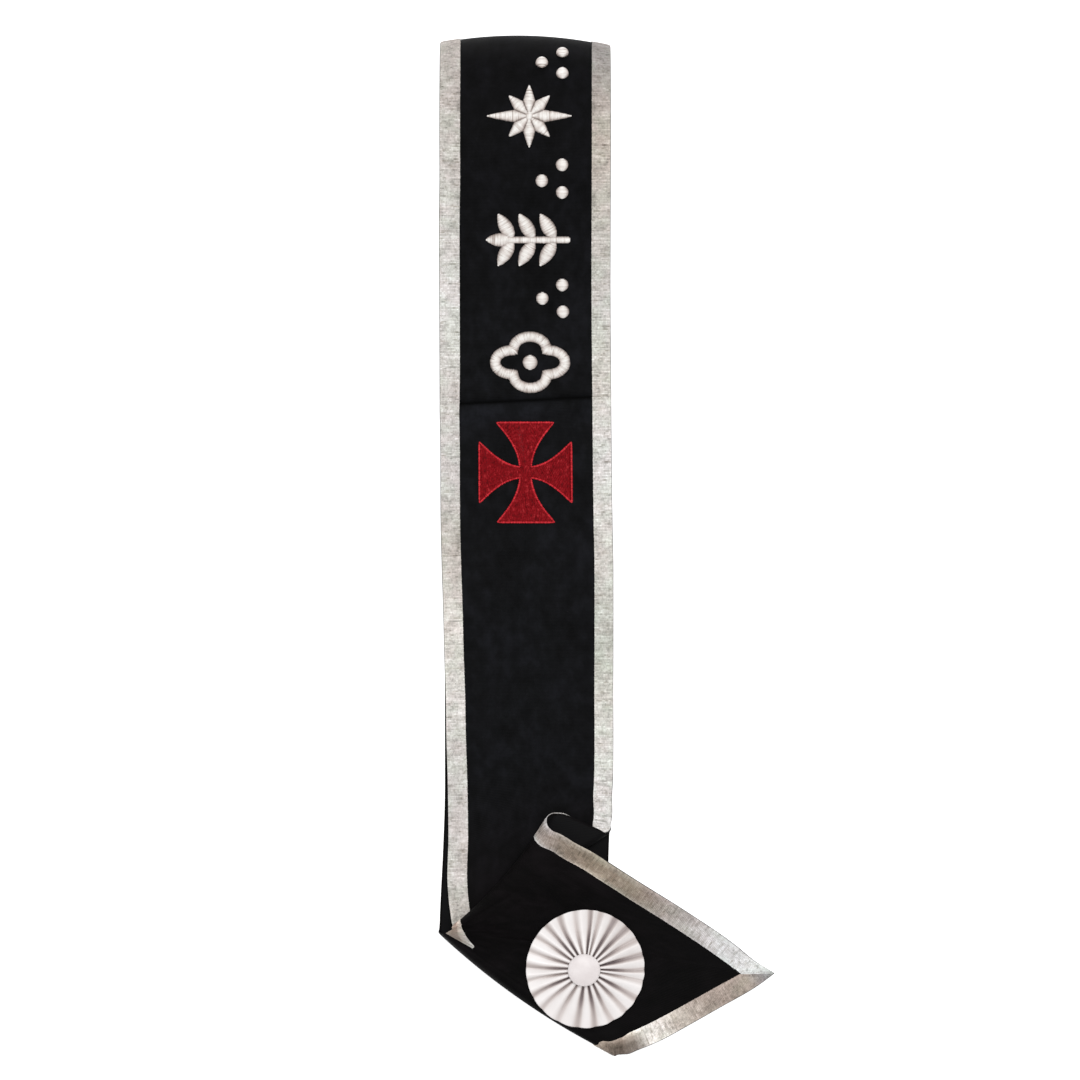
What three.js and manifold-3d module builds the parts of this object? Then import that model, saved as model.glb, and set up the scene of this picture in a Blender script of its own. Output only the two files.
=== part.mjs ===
// An embroidered ceremonial sash, lying folded in half on a flat surface.
//
// One ribbon, lined on its back, is closed into a loop: its two ends meet in a mitre
// at the hip point. A silver braid is sewn along both edges of its face. The upper leg
// carries three padded ornaments with groups of dots and a red cross, and a pleated
// rosette with a covered button sits at the hip point. The sash lies with its upper
// leg face up, its lower leg face down, and its hip point turned out to the right.
//
// Millimetres, +Z up. The origin is on the surface under the middle of the sash.

import * as THREE from "three";
import { mergeVertices } from "three/addons/utils/BufferGeometryUtils.js";
import Module from "manifold-3d";

const wasm = await Module();
wasm.setup();

// Driving sizes
const RIBBON_WIDTH = 106;
const BRAID_WIDTH = 12.5;
const CLOTH = 1.0;            // thickness of the ribbon, of its lining and of the braid
const GAP = 0.3;              // clearance between two pieces that are sewn together
const LINING_INSET = 1.2;     // the lining stops short of the ribbon's edges
const SATIN_HEIGHT = 2.4;     // rise of a padded satin stroke over its base
const DOT_RADIUS = 4.05;
const DOT_HEIGHT = 2.0;
const BOSS_RADIUS = 4.8;

// Heights over the sheet's middle surface, which lies between ribbon and lining
const RIBBON_LOW = GAP / 2;
const RIBBON_TOP = RIBBON_LOW + CLOTH;
const BRAID_LOW = RIBBON_TOP + GAP;
const BRAID_TOP = BRAID_LOW + CLOTH;
const LINING_TOP = -GAP / 2;
const LINING_LOW = LINING_TOP - CLOTH;

const BRAID_SHARE = BRAID_WIDTH / RIBBON_WIDTH;
const ACROSS = [0, BRAID_SHARE, 0.28, 0.5, 0.72, 1 - BRAID_SHARE, 1];

// Stacking heights of the middle surface where the layers lie on each other
const BACK_Z = BRAID_TOP;
const FRONT_Z = 5.3;
const RETURN_Z = 10.8;
const FLAP_Z = 14.2;

// The shoulder fold: how far behind its front edge, how high, and how far the middle of
// the cross-line bows ahead of its ends
const SHOULDER_EDGE = { inner: [-104.1, 312.3], outer: [1.5, 310.4] };
const SHOULDER_TOP = [
  { back: 0, height: 9.5, bow: 5.4 },
  { back: 0.9, height: 13.5, bow: 5.3 },
  { back: 3, height: 18, bow: 5.0 },
  { back: 7, height: 23.3, bow: 4.5 },
  { back: 13, height: 29, bow: 3.8 },
  { back: 21, height: 34.2, bow: 2.9 },
  { back: 31, height: 38.6, bow: 1.9 },
  { back: 42, height: 41.3, bow: 1 },
  { back: 54, height: 42.2, bow: 0 },
  { back: 68, height: 41, bow: 0 },
  { back: 84, height: 38, bow: 0 },
];
const SHOULDER_UNDERSIDE = [
  { back: 26, height: BACK_Z, bow: 0 },
  { back: 14, height: BACK_Z, bow: 0.8 },
  { back: 7.6, height: 2.8, bow: 2.6 },
  { back: 3.4, height: 4.1, bow: 4.2 },
  { back: 0.8, height: 6.4, bow: 5.2 },
];

// The rest of the sash as cross-lines from its inner to its outer edge.
// bow moves the middle of a cross-line, sag lowers it between the braids, braid and edge
// are the inner and the outer braid's shares of the cross-line, and turn rolls the sheet
// over to the next row, reaching that far past this one.
const UPPER_LEG = [
  { inner: [-104.2, 211.5, 33.7], outer: [1.9, 211.5, 33.7] },
  { inner: [-104.3, 190, 28.6], outer: [2.0, 190, 28.6] },
  { inner: [-104.3, 169, 23.8], outer: [2.0, 169, 23.8] },
  { inner: [-104.3, 149, 19.6], outer: [2.1, 149, 19.6] },
  { inner: [-104.3, 127, 15.6], outer: [2.3, 127, 15.6] },
  { inner: [-104.3, 109, 12.6], outer: [2.5, 109, 12.6] },
  // A shallow crease across the ribbon between the ornaments and the cross
  { inner: [-104.3, 96, 10.7], outer: [2.6, 97, 10.7] },
  { inner: [-104.3, 89.6, 8.7], outer: [2.7, 91.0, 8.8] },
  { inner: [-104.3, 84, 9.1], outer: [2.8, 85.0, 9.1] },
  { inner: [-104.2, 78, 8.4], outer: [2.9, 78, 8.4] },
  { inner: [-103.7, 12, 5.9], outer: [3.6, 12, 5.9] },
  { inner: [-103.0, -15, 5.9], outer: [4.1, -15, 6.3] },
  { inner: [-101.9, -38, 6.5], outer: [4.2, -38, 6.9] },
  { inner: [-101.3, -64, 5.8], outer: [4.2, -64, 6.0] },
  { inner: [-100.8, -92, 5.4], outer: [4.1, -92, 5.4] },
  { inner: [-100.4, -120, 5.7], outer: [3.8, -118, 5.8] },
  { inner: [-100.0, -148, FRONT_Z], outer: [3.4, -143, FRONT_Z] },
  { inner: [-99.3, -182, FRONT_Z], outer: [2.8, -156, FRONT_Z] },
  { inner: [-99.8, -211, FRONT_Z], outer: [2.4, -166, FRONT_Z] },
  // It turns up at the bottom, face to face with itself
  {
    inner: [-95.4, -237.2, FRONT_Z], outer: [1.9, -175.4, FRONT_Z],
    turn: { inner: 2.4, outer: 2.8, steps: 6 },
  },
];
const RETURN_LAYER = [
  { inner: [-95.6, -236.9, RETURN_Z], outer: [-3.2, -177.4, RETURN_Z] },
  { inner: [-96.2, -237.3, RETURN_Z], outer: [-15.9, -172.4, RETURN_Z], braid: 0.09 },
  {
    inner: [-96.8, -237.7, RETURN_Z], outer: [-30.4, -167.6, RETURN_Z], braid: 0.07,
    bow: [2.2, -3.4, 0],
    turn: { inner: 1.0, outer: 9.2, towards: [-0.97, 0.24, 0], steps: 8 },
  },
];
// The hip flap, face up, from its soft roll round the hip point to its lower fold
const FLAP = [
  {
    inner: [-96.6, -238.4, FLAP_Z], outer: [-32.6, -178.6, 23.4], braid: 0.07,
    bow: [2.2, -3.4, 0],
  },
  {
    inner: [-96.9, -238.6, FLAP_Z], outer: [-21.5, -185.4, 22.8], braid: 0.068,
    bow: [0.8, -1.6, 0],
  },
  { inner: [-97.2, -238.8, FLAP_Z], outer: [-11.0, -191.3, 21.0], braid: 0.066 },
  { inner: [-97.5, -239.0, FLAP_Z], outer: [1.2, -197.9, 18.0], braid: 0.063 },
  { inner: [-97.8, -239.2, FLAP_Z], outer: [18.4, -208.6, 12.5], braid: 0.062 },
  { inner: [-98.1, -239.4, FLAP_Z], outer: [48.4, -227.6, 6.5], braid: 0.062 },
  { inner: [-98.5, -239.6, FLAP_Z], outer: [78.4, -248.2, 3.4], braid: 0.064 },
  { inner: [-98.9, -239.9, FLAP_Z], outer: [95.0, -260.8, 2.2], braid: 0.07, edge: 0.113 },
  { inner: [-99.3, -240.1, FLAP_Z], outer: [105.3, -266.8, 2.4], braid: 0.074, edge: 0.1 },
  { inner: [-99.6, -240.3, FLAP_Z], outer: [93.4, -274.9, 1.9], braid: 0.084, edge: 0.113 },
  { inner: [-99.9, -240.5, FLAP_Z], outer: [70.0, -288.6, 1.9], braid: 0.1 },
  { inner: [-100.2, -240.7, FLAP_Z], outer: [48.4, -301.2, 2.4], braid: 0.118 },
  { inner: [-100.5, -240.9, FLAP_Z], outer: [33.4, -309.0, 3.6], braid: 0.138 },
  { inner: [-100.8, -241.1, FLAP_Z], outer: [18.4, -315.6, 5.4], braid: 0.158 },
  {
    inner: [-101.1, -241.3, FLAP_Z], outer: [5.4, -315.8, 7.8], braid: 0.172,
    turn: { inner: 2.4, outer: 1.6, bow: [-1.7, -2.5, 0], steps: 8 },
  },
];
// The lower leg, face down on the surface, back up to the shoulder fold
const LOWER_LEG = [
  { inner: [-103.9, -239.2, BACK_Z], outer: [2.4, -313.2, BACK_Z] },
  { inner: [-103.7, -229, BACK_Z], outer: [1.6, -281, BACK_Z], sag: -1.0 },
  { inner: [-102.9, -212, BACK_Z], outer: [1.0, -246, BACK_Z], sag: -1.3 },
  { inner: [-102.0, -190, BACK_Z], outer: [0.4, -209, BACK_Z], sag: -1.3 },
  { inner: [-101.6, -148, BACK_Z], outer: [1.8, -160, BACK_Z], sag: -1.3 },
  { inner: [-101.6, -92, BACK_Z], outer: [3.4, -94, BACK_Z], sag: -1.3 },
  { inner: [-101.9, -38, BACK_Z], outer: [3.6, -38, BACK_Z], sag: -1.3 },
  { inner: [-103.0, 12, BACK_Z], outer: [3.2, 12, BACK_Z], sag: -1.3 },
  { inner: [-103.8, 90, BACK_Z], outer: [2.4, 90, BACK_Z], sag: -1.3 },
  { inner: [-104.0, 169, BACK_Z], outer: [2.0, 169, BACK_Z], sag: -1.3 },
  { inner: [-104.1, 230, BACK_Z], outer: [1.8, 230, BACK_Z], sag: -1.3 },
  { inner: [-104.2, 262, BACK_Z], outer: [1.7, 261, BACK_Z], sag: -0.6 },
];

// Places on the upper leg, as plan positions of their centres
const ORNAMENT_X = -48.7;
const KNOT_Y = 114.8;
const SPRIG_Y = 190.1;
const STAR_Y = 265.2;
const CROSS_AT = [-50.4, 45.2];
const DOT_GROUPS = [
  { name: "low", dots: [[-28.5, 161.6], [-40.6, 153.6], [-27.9, 145.6]] },
  { name: "middle", dots: [[-28.1, 235.0], [-40.6, 225.3], [-28.0, 218.3]] },
  { name: "high", dots: [[-27.9, 305.6], [-40.6, 299.1], [-27.8, 292.2]] },
];

// The rosette: pleats on a stiff backing disc, and a covered button over their middle.
// Heights are over the rosette's plane, which the lift puts above the flap's face.
const ROSETTE = {
  at: [-14.0, -262.9], radius: 37.2, hole: 6.3, lift: 2.7,
  pleats: 24, stepsPerPleat: 4, innerDepth: 1.5, rimDepth: 0.68, middleRise: 2.2,
};
const SEAT_AT = 28;           // how far out the flap's slope is read
const BACKING = { radius: 23, low: -2.15, high: -0.8 };
const BUTTON = {
  radius: 10.4, height: 4.2, seat: 4.4,
  // Shares of the radius and of the height, from the middle underneath to the crown
  profile: [[0, 0], [0.78, 0], [0.98, 0.3], [1, 0.5], [0.86, 0.78], [0.55, 0.95], [0, 1]],
};

const ribbonBlack = new THREE.MeshStandardMaterial({ color: 0x0c0c0e, roughness: 0.62 });
const liningBlack = new THREE.MeshStandardMaterial({ color: 0x08080a, roughness: 0.45 });
const silverBraid = new THREE.MeshStandardMaterial({
  color: 0xb9b1a8, roughness: 0.42, metalness: 0.65,
});
const silverThread = new THREE.MeshStandardMaterial({ color: 0xd9d2cc, roughness: 0.5 });
const redThread = new THREE.MeshStandardMaterial({ color: 0x7c0c14, roughness: 0.6 });
const redCord = new THREE.MeshStandardMaterial({ color: 0xb3141f, roughness: 0.55 });
const whiteSatin = new THREE.MeshStandardMaterial({ color: 0xe9e3e1, roughness: 0.4 });

const sash = new THREE.Group();

const vec = (p) => new THREE.Vector3(...p);
const lerp = (a, b, share) => a.clone().lerp(b, share);

// Cross-lines of the sheet

const shoulderRow = ({ back, height, bow }) => ({
  inner: [SHOULDER_EDGE.inner[0], SHOULDER_EDGE.inner[1] - back, height],
  outer: [SHOULDER_EDGE.outer[0], SHOULDER_EDGE.outer[1] - back, height],
  bow: [0, bow, 0],
});

function rowLine(row) {
  return {
    inner: vec(row.inner),
    outer: vec(row.outer),
    bow: vec(row.bow ?? [0, 0, 0]),
    sag: row.sag ?? 0,
    braid: row.braid ?? BRAID_SHARE,
    edge: row.edge ?? BRAID_SHARE,
  };
}

// The level direction in which a turn reaches, square to its crease.
function reachDirection(before, line) {
  const along = line.outer.clone().sub(line.inner);
  const square = new THREE.Vector3(-along.y, along.x, 0).normalize();
  const forward = line.inner.clone().add(line.outer).sub(before.inner).sub(before.outer);
  return square.multiplyScalar(Math.sign(square.dot(forward)) || 1);
}

// Cross-lines of half a turn from one row to the next: each end runs on half an ellipse.
function turnLines(before, from, to, turn) {
  const reach = turn.towards ? vec(turn.towards) : reachDirection(before, from);
  const roll = (a, b, bulge, angle) => {
    const half = a.clone().sub(b).multiplyScalar(0.5 * Math.cos(angle));
    return lerp(a, b, 0.5).add(half).addScaledVector(reach, bulge * Math.sin(angle));
  };
  const lines = [];
  for (let k = 1; k < turn.steps; k++) {
    const angle = (Math.PI * k) / turn.steps;
    const share = (1 - Math.cos(angle)) / 2;
    lines.push({
      inner: roll(from.inner, to.inner, turn.inner, angle),
      outer: roll(from.outer, to.outer, turn.outer, angle),
      bow: lerp(from.bow, to.bow, share).addScaledVector(
        vec(turn.bow ?? [0, 0, 0]),
        Math.sin(angle),
      ),
      sag: 0,
      braid: from.braid + (to.braid - from.braid) * share,
      edge: BRAID_SHARE,
    });
  }
  return lines;
}

function crossLines(rows) {
  return rows.flatMap((row, k) => {
    const from = rowLine(row);
    if (!row.turn) return [from];
    return [from, ...turnLines(rowLine(rows[k - 1]), from, rowLine(rows[k + 1]), row.turn)];
  });
}

// Once round the loop, and where the inner braid leaves off and starts again
const TO_FLAP_END = crossLines([
  ...SHOULDER_TOP.map(shoulderRow), ...UPPER_LEG, ...RETURN_LAYER, ...FLAP, LOWER_LEG[0],
]);
const FROM_LOWER_LEG = crossLines([
  ...LOWER_LEG.slice(1), ...SHOULDER_UNDERSIDE.map(shoulderRow),
]);
const LINES = [...TO_FLAP_END, ...FROM_LOWER_LEG];
const LOWER_LEG_START = TO_FLAP_END.length - 1;
const FLAP_END = LOWER_LEG_START - FLAP.at(-1).turn.steps;

// A point of the middle surface on one cross-line, a share of the way across.
function onLine(line, t) {
  const clear = THREE.MathUtils.clamp((t - BRAID_SHARE) / (1 - 2 * BRAID_SHARE), 0, 1);
  const p = lerp(line.inner, line.outer, t).addScaledVector(line.bow, 4 * t * (1 - t));
  p.z += line.sag * 4 * clear * (1 - clear);
  return p;
}

const lineAt = (k) => LINES[(k + LINES.length) % LINES.length];

// The face side's normal. Near the inner corner of the flap the cross-lines fan out
// from almost one point, so the running direction is read a little further out.
const STEADY_SHARE = 0.25;
function faceNormal(k, t) {
  const steady = Math.max(t, STEADY_SHARE);
  const along = onLine(lineAt(k + 1), steady).sub(onLine(lineAt(k - 1), steady));
  const step = 0.02;
  const low = Math.min(t, 1 - step);
  const across = onLine(lineAt(k), low + step).sub(onLine(lineAt(k), low));
  return along.cross(across).normalize();
}

const offset = (k, t, height) =>
  onLine(lineAt(k), t).addScaledVector(faceNormal(k, t), height);

// Solids

function solid(positions, indices) {
  let geometry = new THREE.BufferGeometry();
  geometry.setAttribute("position", new THREE.Float32BufferAttribute(positions, 3));
  geometry.setIndex(indices);
  geometry = geometry.toNonIndexed();
  geometry.computeVertexNormals();
  return geometry;
}

function piece(name, geometry, material) {
  const mesh = new THREE.Mesh(geometry, material);
  mesh.name = name;
  sash.add(mesh);
  return mesh;
}

// A closed skin over a grid of section loops. Each section is a list of points in
// order round a closed outline; the sections join end to end, or are capped.
function loft(sections, closed) {
  const size = sections[0].length;
  const positions = sections.flat().flatMap((p) => [p.x, p.y, p.z]);
  const indices = [];
  const spans = closed ? sections.length : sections.length - 1;
  for (let i = 0; i < spans; i++) {
    const a = i * size;
    const b = ((i + 1) % sections.length) * size;
    for (let j = 0; j < size; j++) {
      const n = (j + 1) % size;
      indices.push(a + j, b + j, b + n, a + j, b + n, a + n);
    }
  }
  if (!closed) {
    const end = (sections.length - 1) * size;
    for (let j = 1; j < size - 1; j++) {
      indices.push(0, j, j + 1);
      indices.push(end, end + j + 1, end + j);
    }
  }
  return solid(positions, indices);
}

// A layer of the sheet between two heights, at the shares of each cross-line it covers.
function layer(first, last, shares, low, high) {
  const sections = [];
  for (let k = first; k <= last; k++) {
    const across = shares(k);
    const top = across.map((t) => offset(k, t, high));
    const bottom = across.map((t) => offset(k, t, low)).reverse();
    sections.push([...top, ...bottom]);
  }
  return sections;
}

function addRibbon() {
  const last = LINES.length - 1;
  const whole = () => ACROSS;
  piece("ribbon", loft(layer(0, last, whole, RIBBON_LOW, RIBBON_TOP), true), ribbonBlack);
  const inset = LINING_INSET / RIBBON_WIDTH;
  const narrower = () => ACROSS.map((t) => THREE.MathUtils.clamp(t, inset, 1 - inset));
  piece("lining", loft(layer(0, last, narrower, LINING_LOW, LINING_TOP), true), liningBlack);
}

// The outer braid goes right round. The inner braid ends at the flap's lower fold and
// starts again on the lower leg behind it.
function addBraids() {
  const last = LINES.length - 1;
  const outer = (k) => [1 - lineAt(k).edge, 1];
  piece("outer_braid", loft(layer(0, last, outer, BRAID_LOW, BRAID_TOP), true), silverBraid);
  const inner = (k) => [0, lineAt(k).braid];
  const run = layer(LOWER_LEG_START - LINES.length, FLAP_END, inner, BRAID_LOW, BRAID_TOP);
  piece("inner_braid", loft(run, false), silverBraid);
}

// Needlework on the upper leg

// Distances along the middle of the ribbon from the edge of the shoulder fold.
const RUN = [0];
for (let k = 1; k < LINES.length; k++) {
  const step = onLine(LINES[k], 0.5).distanceTo(onLine(LINES[k - 1], 0.5));
  RUN.push(RUN[k - 1] + step);
}

// How far along the upper leg a plan position lies.
function runAt(y) {
  let k = 0;
  while (onLine(LINES[k + 1], 0.5).y > y) k++;
  const a = onLine(LINES[k], 0.5).y;
  const b = onLine(LINES[k + 1], 0.5).y;
  return RUN[k] + ((a - y) / (a - b)) * (RUN[k + 1] - RUN[k]);
}

// A point over the face, from its distance along and across the ribbon.
function onFace(run, across, height) {
  let k = 0;
  while (RUN[k + 1] < run) k++;
  const share = (run - RUN[k]) / (RUN[k + 1] - RUN[k]);
  const t = across / RIBBON_WIDTH;
  const lift = RIBBON_TOP + GAP + height;
  return lerp(offset(k, t, lift), offset(k + 1, t, lift), share);
}

// A frame of the flat cloth round a plan position: x across, y up the leg.
function placeOn(x, y) {
  const run = runAt(y);
  let k = 0;
  while (RUN[k + 1] < run) k++;
  const across = x - onLine(LINES[k], 0).x;
  return (p, height) => onFace(run - p.y, across + p.x, height);
}

// A padded satin stroke along a flat path: half-round sections that narrow to its ends.
const ARCH = 5;
function padStroke(place, path, rise, closed = false) {
  const count = path.length;
  const sections = path.map((p, k) => {
    const a = path[closed ? (k + count - 1) % count : Math.max(k - 1, 0)];
    const b = path[closed ? (k + 1) % count : Math.min(k + 1, count - 1)];
    const length = Math.hypot(b.x - a.x, b.y - a.y);
    const side = { x: (a.y - b.y) / length, y: (b.x - a.x) / length };
    const section = [];
    for (let j = 0; j <= ARCH; j++) {
      const angle = (Math.PI * j) / ARCH;
      const reach = (-p.width / 2) * Math.cos(angle);
      const point = { x: p.x + side.x * reach, y: p.y + side.y * reach };
      section.push(place(point, rise * (p.full ?? 1) * Math.sin(angle)));
    }
    return section;
  });
  return loft(sections, closed);
}

function toManifold(geometry) {
  const bare = geometry.clone();
  bare.deleteAttribute("normal");
  bare.deleteAttribute("uv");
  const merged = mergeVertices(bare, 1e-4);
  return new wasm.Manifold(
    new wasm.Mesh({
      numProp: 3,
      vertProperties: new Float32Array(merged.attributes.position.array),
      triVerts: new Uint32Array(merged.index.array),
    }),
  );
}

function fromManifold(whole) {
  const mesh = whole.getMesh();
  const positions = [];
  for (let i = 0; i < mesh.numVert; i++) {
    positions.push(...mesh.vertProperties.slice(i * mesh.numProp, i * mesh.numProp + 3));
  }
  return solid(positions, Array.from(mesh.triVerts));
}

const joined = (geometries) =>
  fromManifold(geometries.map(toManifold).reduce((a, b) => a.add(b)));

// A ring of padded satin with four round lobes, and a boss in its middle.
const KNOT = { lobeAt: 11, lobeRadius: 9.6, wide: 1.05, tall: 0.78, stroke: 6.4, steps: 48 };

function addKnot() {
  const place = placeOn(ORNAMENT_X, KNOT_Y);
  const { lobeAt, lobeRadius, wide, tall, stroke, steps } = KNOT;
  const ring = [];
  for (let k = 0; k < steps; k++) {
    const angle = (2 * Math.PI * k) / steps;
    const lobe = (Math.PI / 2) * Math.round(angle / (Math.PI / 2));
    const beside = lobeAt * Math.sin(angle - lobe);
    const radius = lobeAt * Math.cos(angle - lobe) + Math.sqrt(lobeRadius ** 2 - beside ** 2);
    ring.push({
      x: wide * radius * Math.cos(angle),
      y: tall * radius * Math.sin(angle),
      width: stroke,
    });
  }
  piece("knot_ornament", padStroke(place, ring, SATIN_HEIGHT, true), silverThread);
  addDome("knot_boss", ORNAMENT_X, KNOT_Y, BOSS_RADIUS);
}

// A stem across the ribbon with three pairs of leaves and a leaf at its end.
const SPRIG = {
  stemFrom: 25, stemTo: -19, stemWidth: 4.2, stemLift: 0.3,
  pairsAt: [15.5, 2.5, -10.5], leafLength: 18, leafWidth: 8.4, leafTurn: 120,
  endLeafAt: -11, endLeafLength: 16,
};
const STEM_STEPS = 8;
const LEAF_WIDTHS = [0.14, 0.6, 0.9, 1, 0.92, 0.64, 0.16];

function leafPath(x, y, angle, length, width) {
  return LEAF_WIDTHS.map((share, k) => {
    const s = (length * k) / (LEAF_WIDTHS.length - 1);
    return {
      x: x + s * Math.cos(angle),
      y: y + s * Math.sin(angle),
      width: width * share,
      full: Math.max(share, 0.35),
    };
  });
}

function addSprig() {
  const place = placeOn(ORNAMENT_X, SPRIG_Y);
  const { stemFrom, stemTo, stemWidth, leafLength, leafWidth } = SPRIG;
  const stem = [];
  for (let k = 0; k <= STEM_STEPS; k++) {
    const end = k === 0 || k === STEM_STEPS;
    stem.push({
      x: stemFrom + ((stemTo - stemFrom) * k) / STEM_STEPS,
      y: 0,
      width: end ? stemWidth / 2 : stemWidth,
      full: end ? 0.5 : 1,
    });
  }
  const overLeaves = (point, height) => place(point, height + SPRIG.stemLift);
  const parts = [padStroke(overLeaves, stem, SATIN_HEIGHT * 0.8)];
  const turn = THREE.MathUtils.degToRad(SPRIG.leafTurn);
  for (const at of SPRIG.pairsAt) {
    for (const side of [1, -1]) {
      const leaf = leafPath(at, side * 0.6, side * turn, leafLength, leafWidth);
      parts.push(padStroke(place, leaf, SATIN_HEIGHT));
    }
  }
  const endLeaf = leafPath(SPRIG.endLeafAt, 0, Math.PI, SPRIG.endLeafLength, leafWidth);
  parts.push(padStroke(place, endLeaf, SATIN_HEIGHT));
  piece("sprig_ornament", joined(parts), silverThread);
}

// A low body over an outline that the centre sees all of: rings of points, each a
// share of the outline, from its base up to its top.
function dome(place, outline, rings, rise) {
  const sides = outline.length;
  const points = [];
  for (const [share, height] of rings) {
    for (const p of outline) {
      points.push(place({ x: p.x * share, y: p.y * share }, rise * height * (p.full ?? 1)));
    }
  }
  const top = points.push(place({ x: 0, y: 0 }, rise)) - 1;
  const base = points.push(place({ x: 0, y: 0 }, 0)) - 1;
  const indices = [];
  for (let k = 0; k < sides; k++) {
    const n = (k + 1) % sides;
    for (let ring = 0; ring < rings.length - 1; ring++) {
      const a = ring * sides;
      const b = a + sides;
      indices.push(a + k, a + n, b + n, a + k, b + n, b + k);
    }
    const upper = (rings.length - 1) * sides;
    indices.push(upper + k, upper + n, top);
    indices.push(n, k, base);
  }
  return solid(points.flatMap((p) => [p.x, p.y, p.z]), indices);
}

// A star of eight rays, the two across the ribbon longest, each ridged down its middle.
const STAR = { across: 26, along: 19, between: 17.5, rays: 8, raySteps: 6 };
const RAY_EDGE = [
  { share: 1, full: 0.5 },
  { share: 0.78, full: 1 },
  { share: 0.6, full: 0.8 },
];
const NOTCH = { reach: 9.4, full: 0.6 };

function addStar() {
  const place = placeOn(ORNAMENT_X, STAR_Y);
  const { rays, raySteps } = STAR;
  const outline = [];
  for (let k = 0; k < rays * raySteps; k++) {
    const angle = (2 * Math.PI * k) / (rays * raySteps);
    const step = Math.min(k % raySteps, raySteps - (k % raySteps));
    const ray = Math.round(k / raySteps) % rays;
    const onAxis = ray % 4 === 0 ? STAR.across : STAR.along;
    const tip = ray % 2 ? STAR.between : onAxis;
    const between = 2 * step === raySteps;
    const reach = between ? NOTCH.reach : tip * RAY_EDGE[step].share;
    const { full } = between ? NOTCH : RAY_EDGE[step];
    outline.push({ x: reach * Math.cos(angle), y: reach * Math.sin(angle), full });
  }
  const rings = [[0.35, 0], [0.7, 0], [1, 0], [0.9, 0.75], [0.55, 0.95]];
  piece("star_ornament", dome(place, outline, rings, SATIN_HEIGHT), silverThread);
}

// A round padded dot or boss.
function addDome(name, x, y, radius) {
  const outline = [];
  const sides = 14;
  for (let k = 0; k < sides; k++) {
    const angle = (2 * Math.PI * k) / sides;
    outline.push({ x: radius * Math.cos(angle), y: radius * Math.sin(angle) });
  }
  const rings = [[1, 0], [0.97, 0.45], [0.78, 0.8], [0.42, 0.97]];
  piece(name, dome(placeOn(x, y), outline, rings, DOT_HEIGHT), silverThread);
}

// The cross: four arms that flare from a narrow waist, and a corded outline round it.
// Each side of an arm is a curve with one handle near the waist and one near the corner.
const CROSS = {
  tall: 59, wide: 55, flare: 17, neck: 3.4, field: 1.2, cord: 1.7, cordHeight: 1.6,
};
const WAIST_HANDLE = { along: 0.42, beside: 0.9 };
const CORNER_HANDLE = { along: 0.67, beside: 0.48 };

function crossShape(grow) {
  const long = [CROSS.wide / 2 + grow, CROSS.tall / 2 + grow];
  const flare = CROSS.flare + grow * 1.6;
  const neck = CROSS.neck + grow * 0.9;
  const shape = new THREE.Shape();
  shape.moveTo(flare, -long[1]);
  for (let arm = 0; arm < 4; arm++) {
    const reach = long[arm % 2];
    const before = long[(arm + 1) % 2];
    // The arm points along `out`; `side` is a quarter turn on from it.
    const out = { x: [1, 0, -1, 0][arm], y: [0, 1, 0, -1][arm] };
    const at = (along, beside) => [
      out.x * along - out.y * beside,
      out.y * along + out.x * beside,
    ];
    shape.bezierCurveTo(
      ...at(CORNER_HANDLE.beside * flare, -CORNER_HANDLE.along * before),
      ...at(neck + WAIST_HANDLE.beside, -WAIST_HANDLE.along * before),
      ...at(neck, -neck),
    );
    shape.bezierCurveTo(
      ...at(WAIST_HANDLE.along * reach, -neck - WAIST_HANDLE.beside),
      ...at(CORNER_HANDLE.along * reach, -CORNER_HANDLE.beside * flare),
      ...at(reach, -flare),
    );
    shape.lineTo(...at(reach, flare));
  }
  return shape;
}

// The part of the leg under the cross is flat, so the cross is a flat plate on it.
function crossFrame() {
  const place = placeOn(...CROSS_AT);
  const origin = place({ x: 0, y: 0 }, 0);
  const x = place({ x: 10, y: 0 }, 0).sub(origin).normalize();
  const y = place({ x: 0, y: 10 }, 0).sub(origin).normalize();
  const frame = new THREE.Matrix4().makeBasis(x, y, x.clone().cross(y));
  return frame.setPosition(origin);
}

function crossPlate(grow, low, high) {
  const plate = new THREE.ExtrudeGeometry(crossShape(grow), {
    depth: high - low, bevelEnabled: false, curveSegments: 7,
  });
  return plate.translate(0, 0, low);
}

function addCross() {
  const frame = crossFrame();
  const { field, cord } = CROSS;
  const plate = toManifold(crossPlate(GAP + cord, 0, CROSS.cordHeight));
  const hole = toManifold(crossPlate(GAP, -1, CROSS.cordHeight + 1));
  piece("cross_field", crossPlate(0, 0, field).applyMatrix4(frame), redThread);
  piece("cross_outline", fromManifold(plate.subtract(hole)).applyMatrix4(frame), redCord);
}

// The rosette

// The flap's face under a plan position.
function flapHeight(x, y) {
  const ribbon = sash.getObjectByName("ribbon");
  const from = new THREE.Vector3(x, y, 100);
  const down = new THREE.Vector3(0, 0, -1);
  return new THREE.Raycaster(from, down).intersectObject(ribbon)[0].point.z;
}

// A plane that clears the flap under the whole rosette.
function rosetteFrame() {
  const [x, y] = ROSETTE.at;
  const left = flapHeight(x - SEAT_AT, y);
  const right = flapHeight(x + SEAT_AT, y);
  const up = flapHeight(x, y + SEAT_AT);
  const down = flapHeight(x, y - SEAT_AT);
  const ex = new THREE.Vector3(2 * SEAT_AT, 0, right - left).normalize();
  const ey = new THREE.Vector3(0, 2 * SEAT_AT, up - down).normalize();
  const ez = ex.clone().cross(ey).normalize();
  const z = Math.max(flapHeight(x, y), (left + right) / 2, (up + down) / 2) + ROSETTE.lift;
  return new THREE.Matrix4()
    .makeBasis(ex, ez.clone().cross(ex), ez)
    .setPosition(x, y, z);
}

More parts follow.
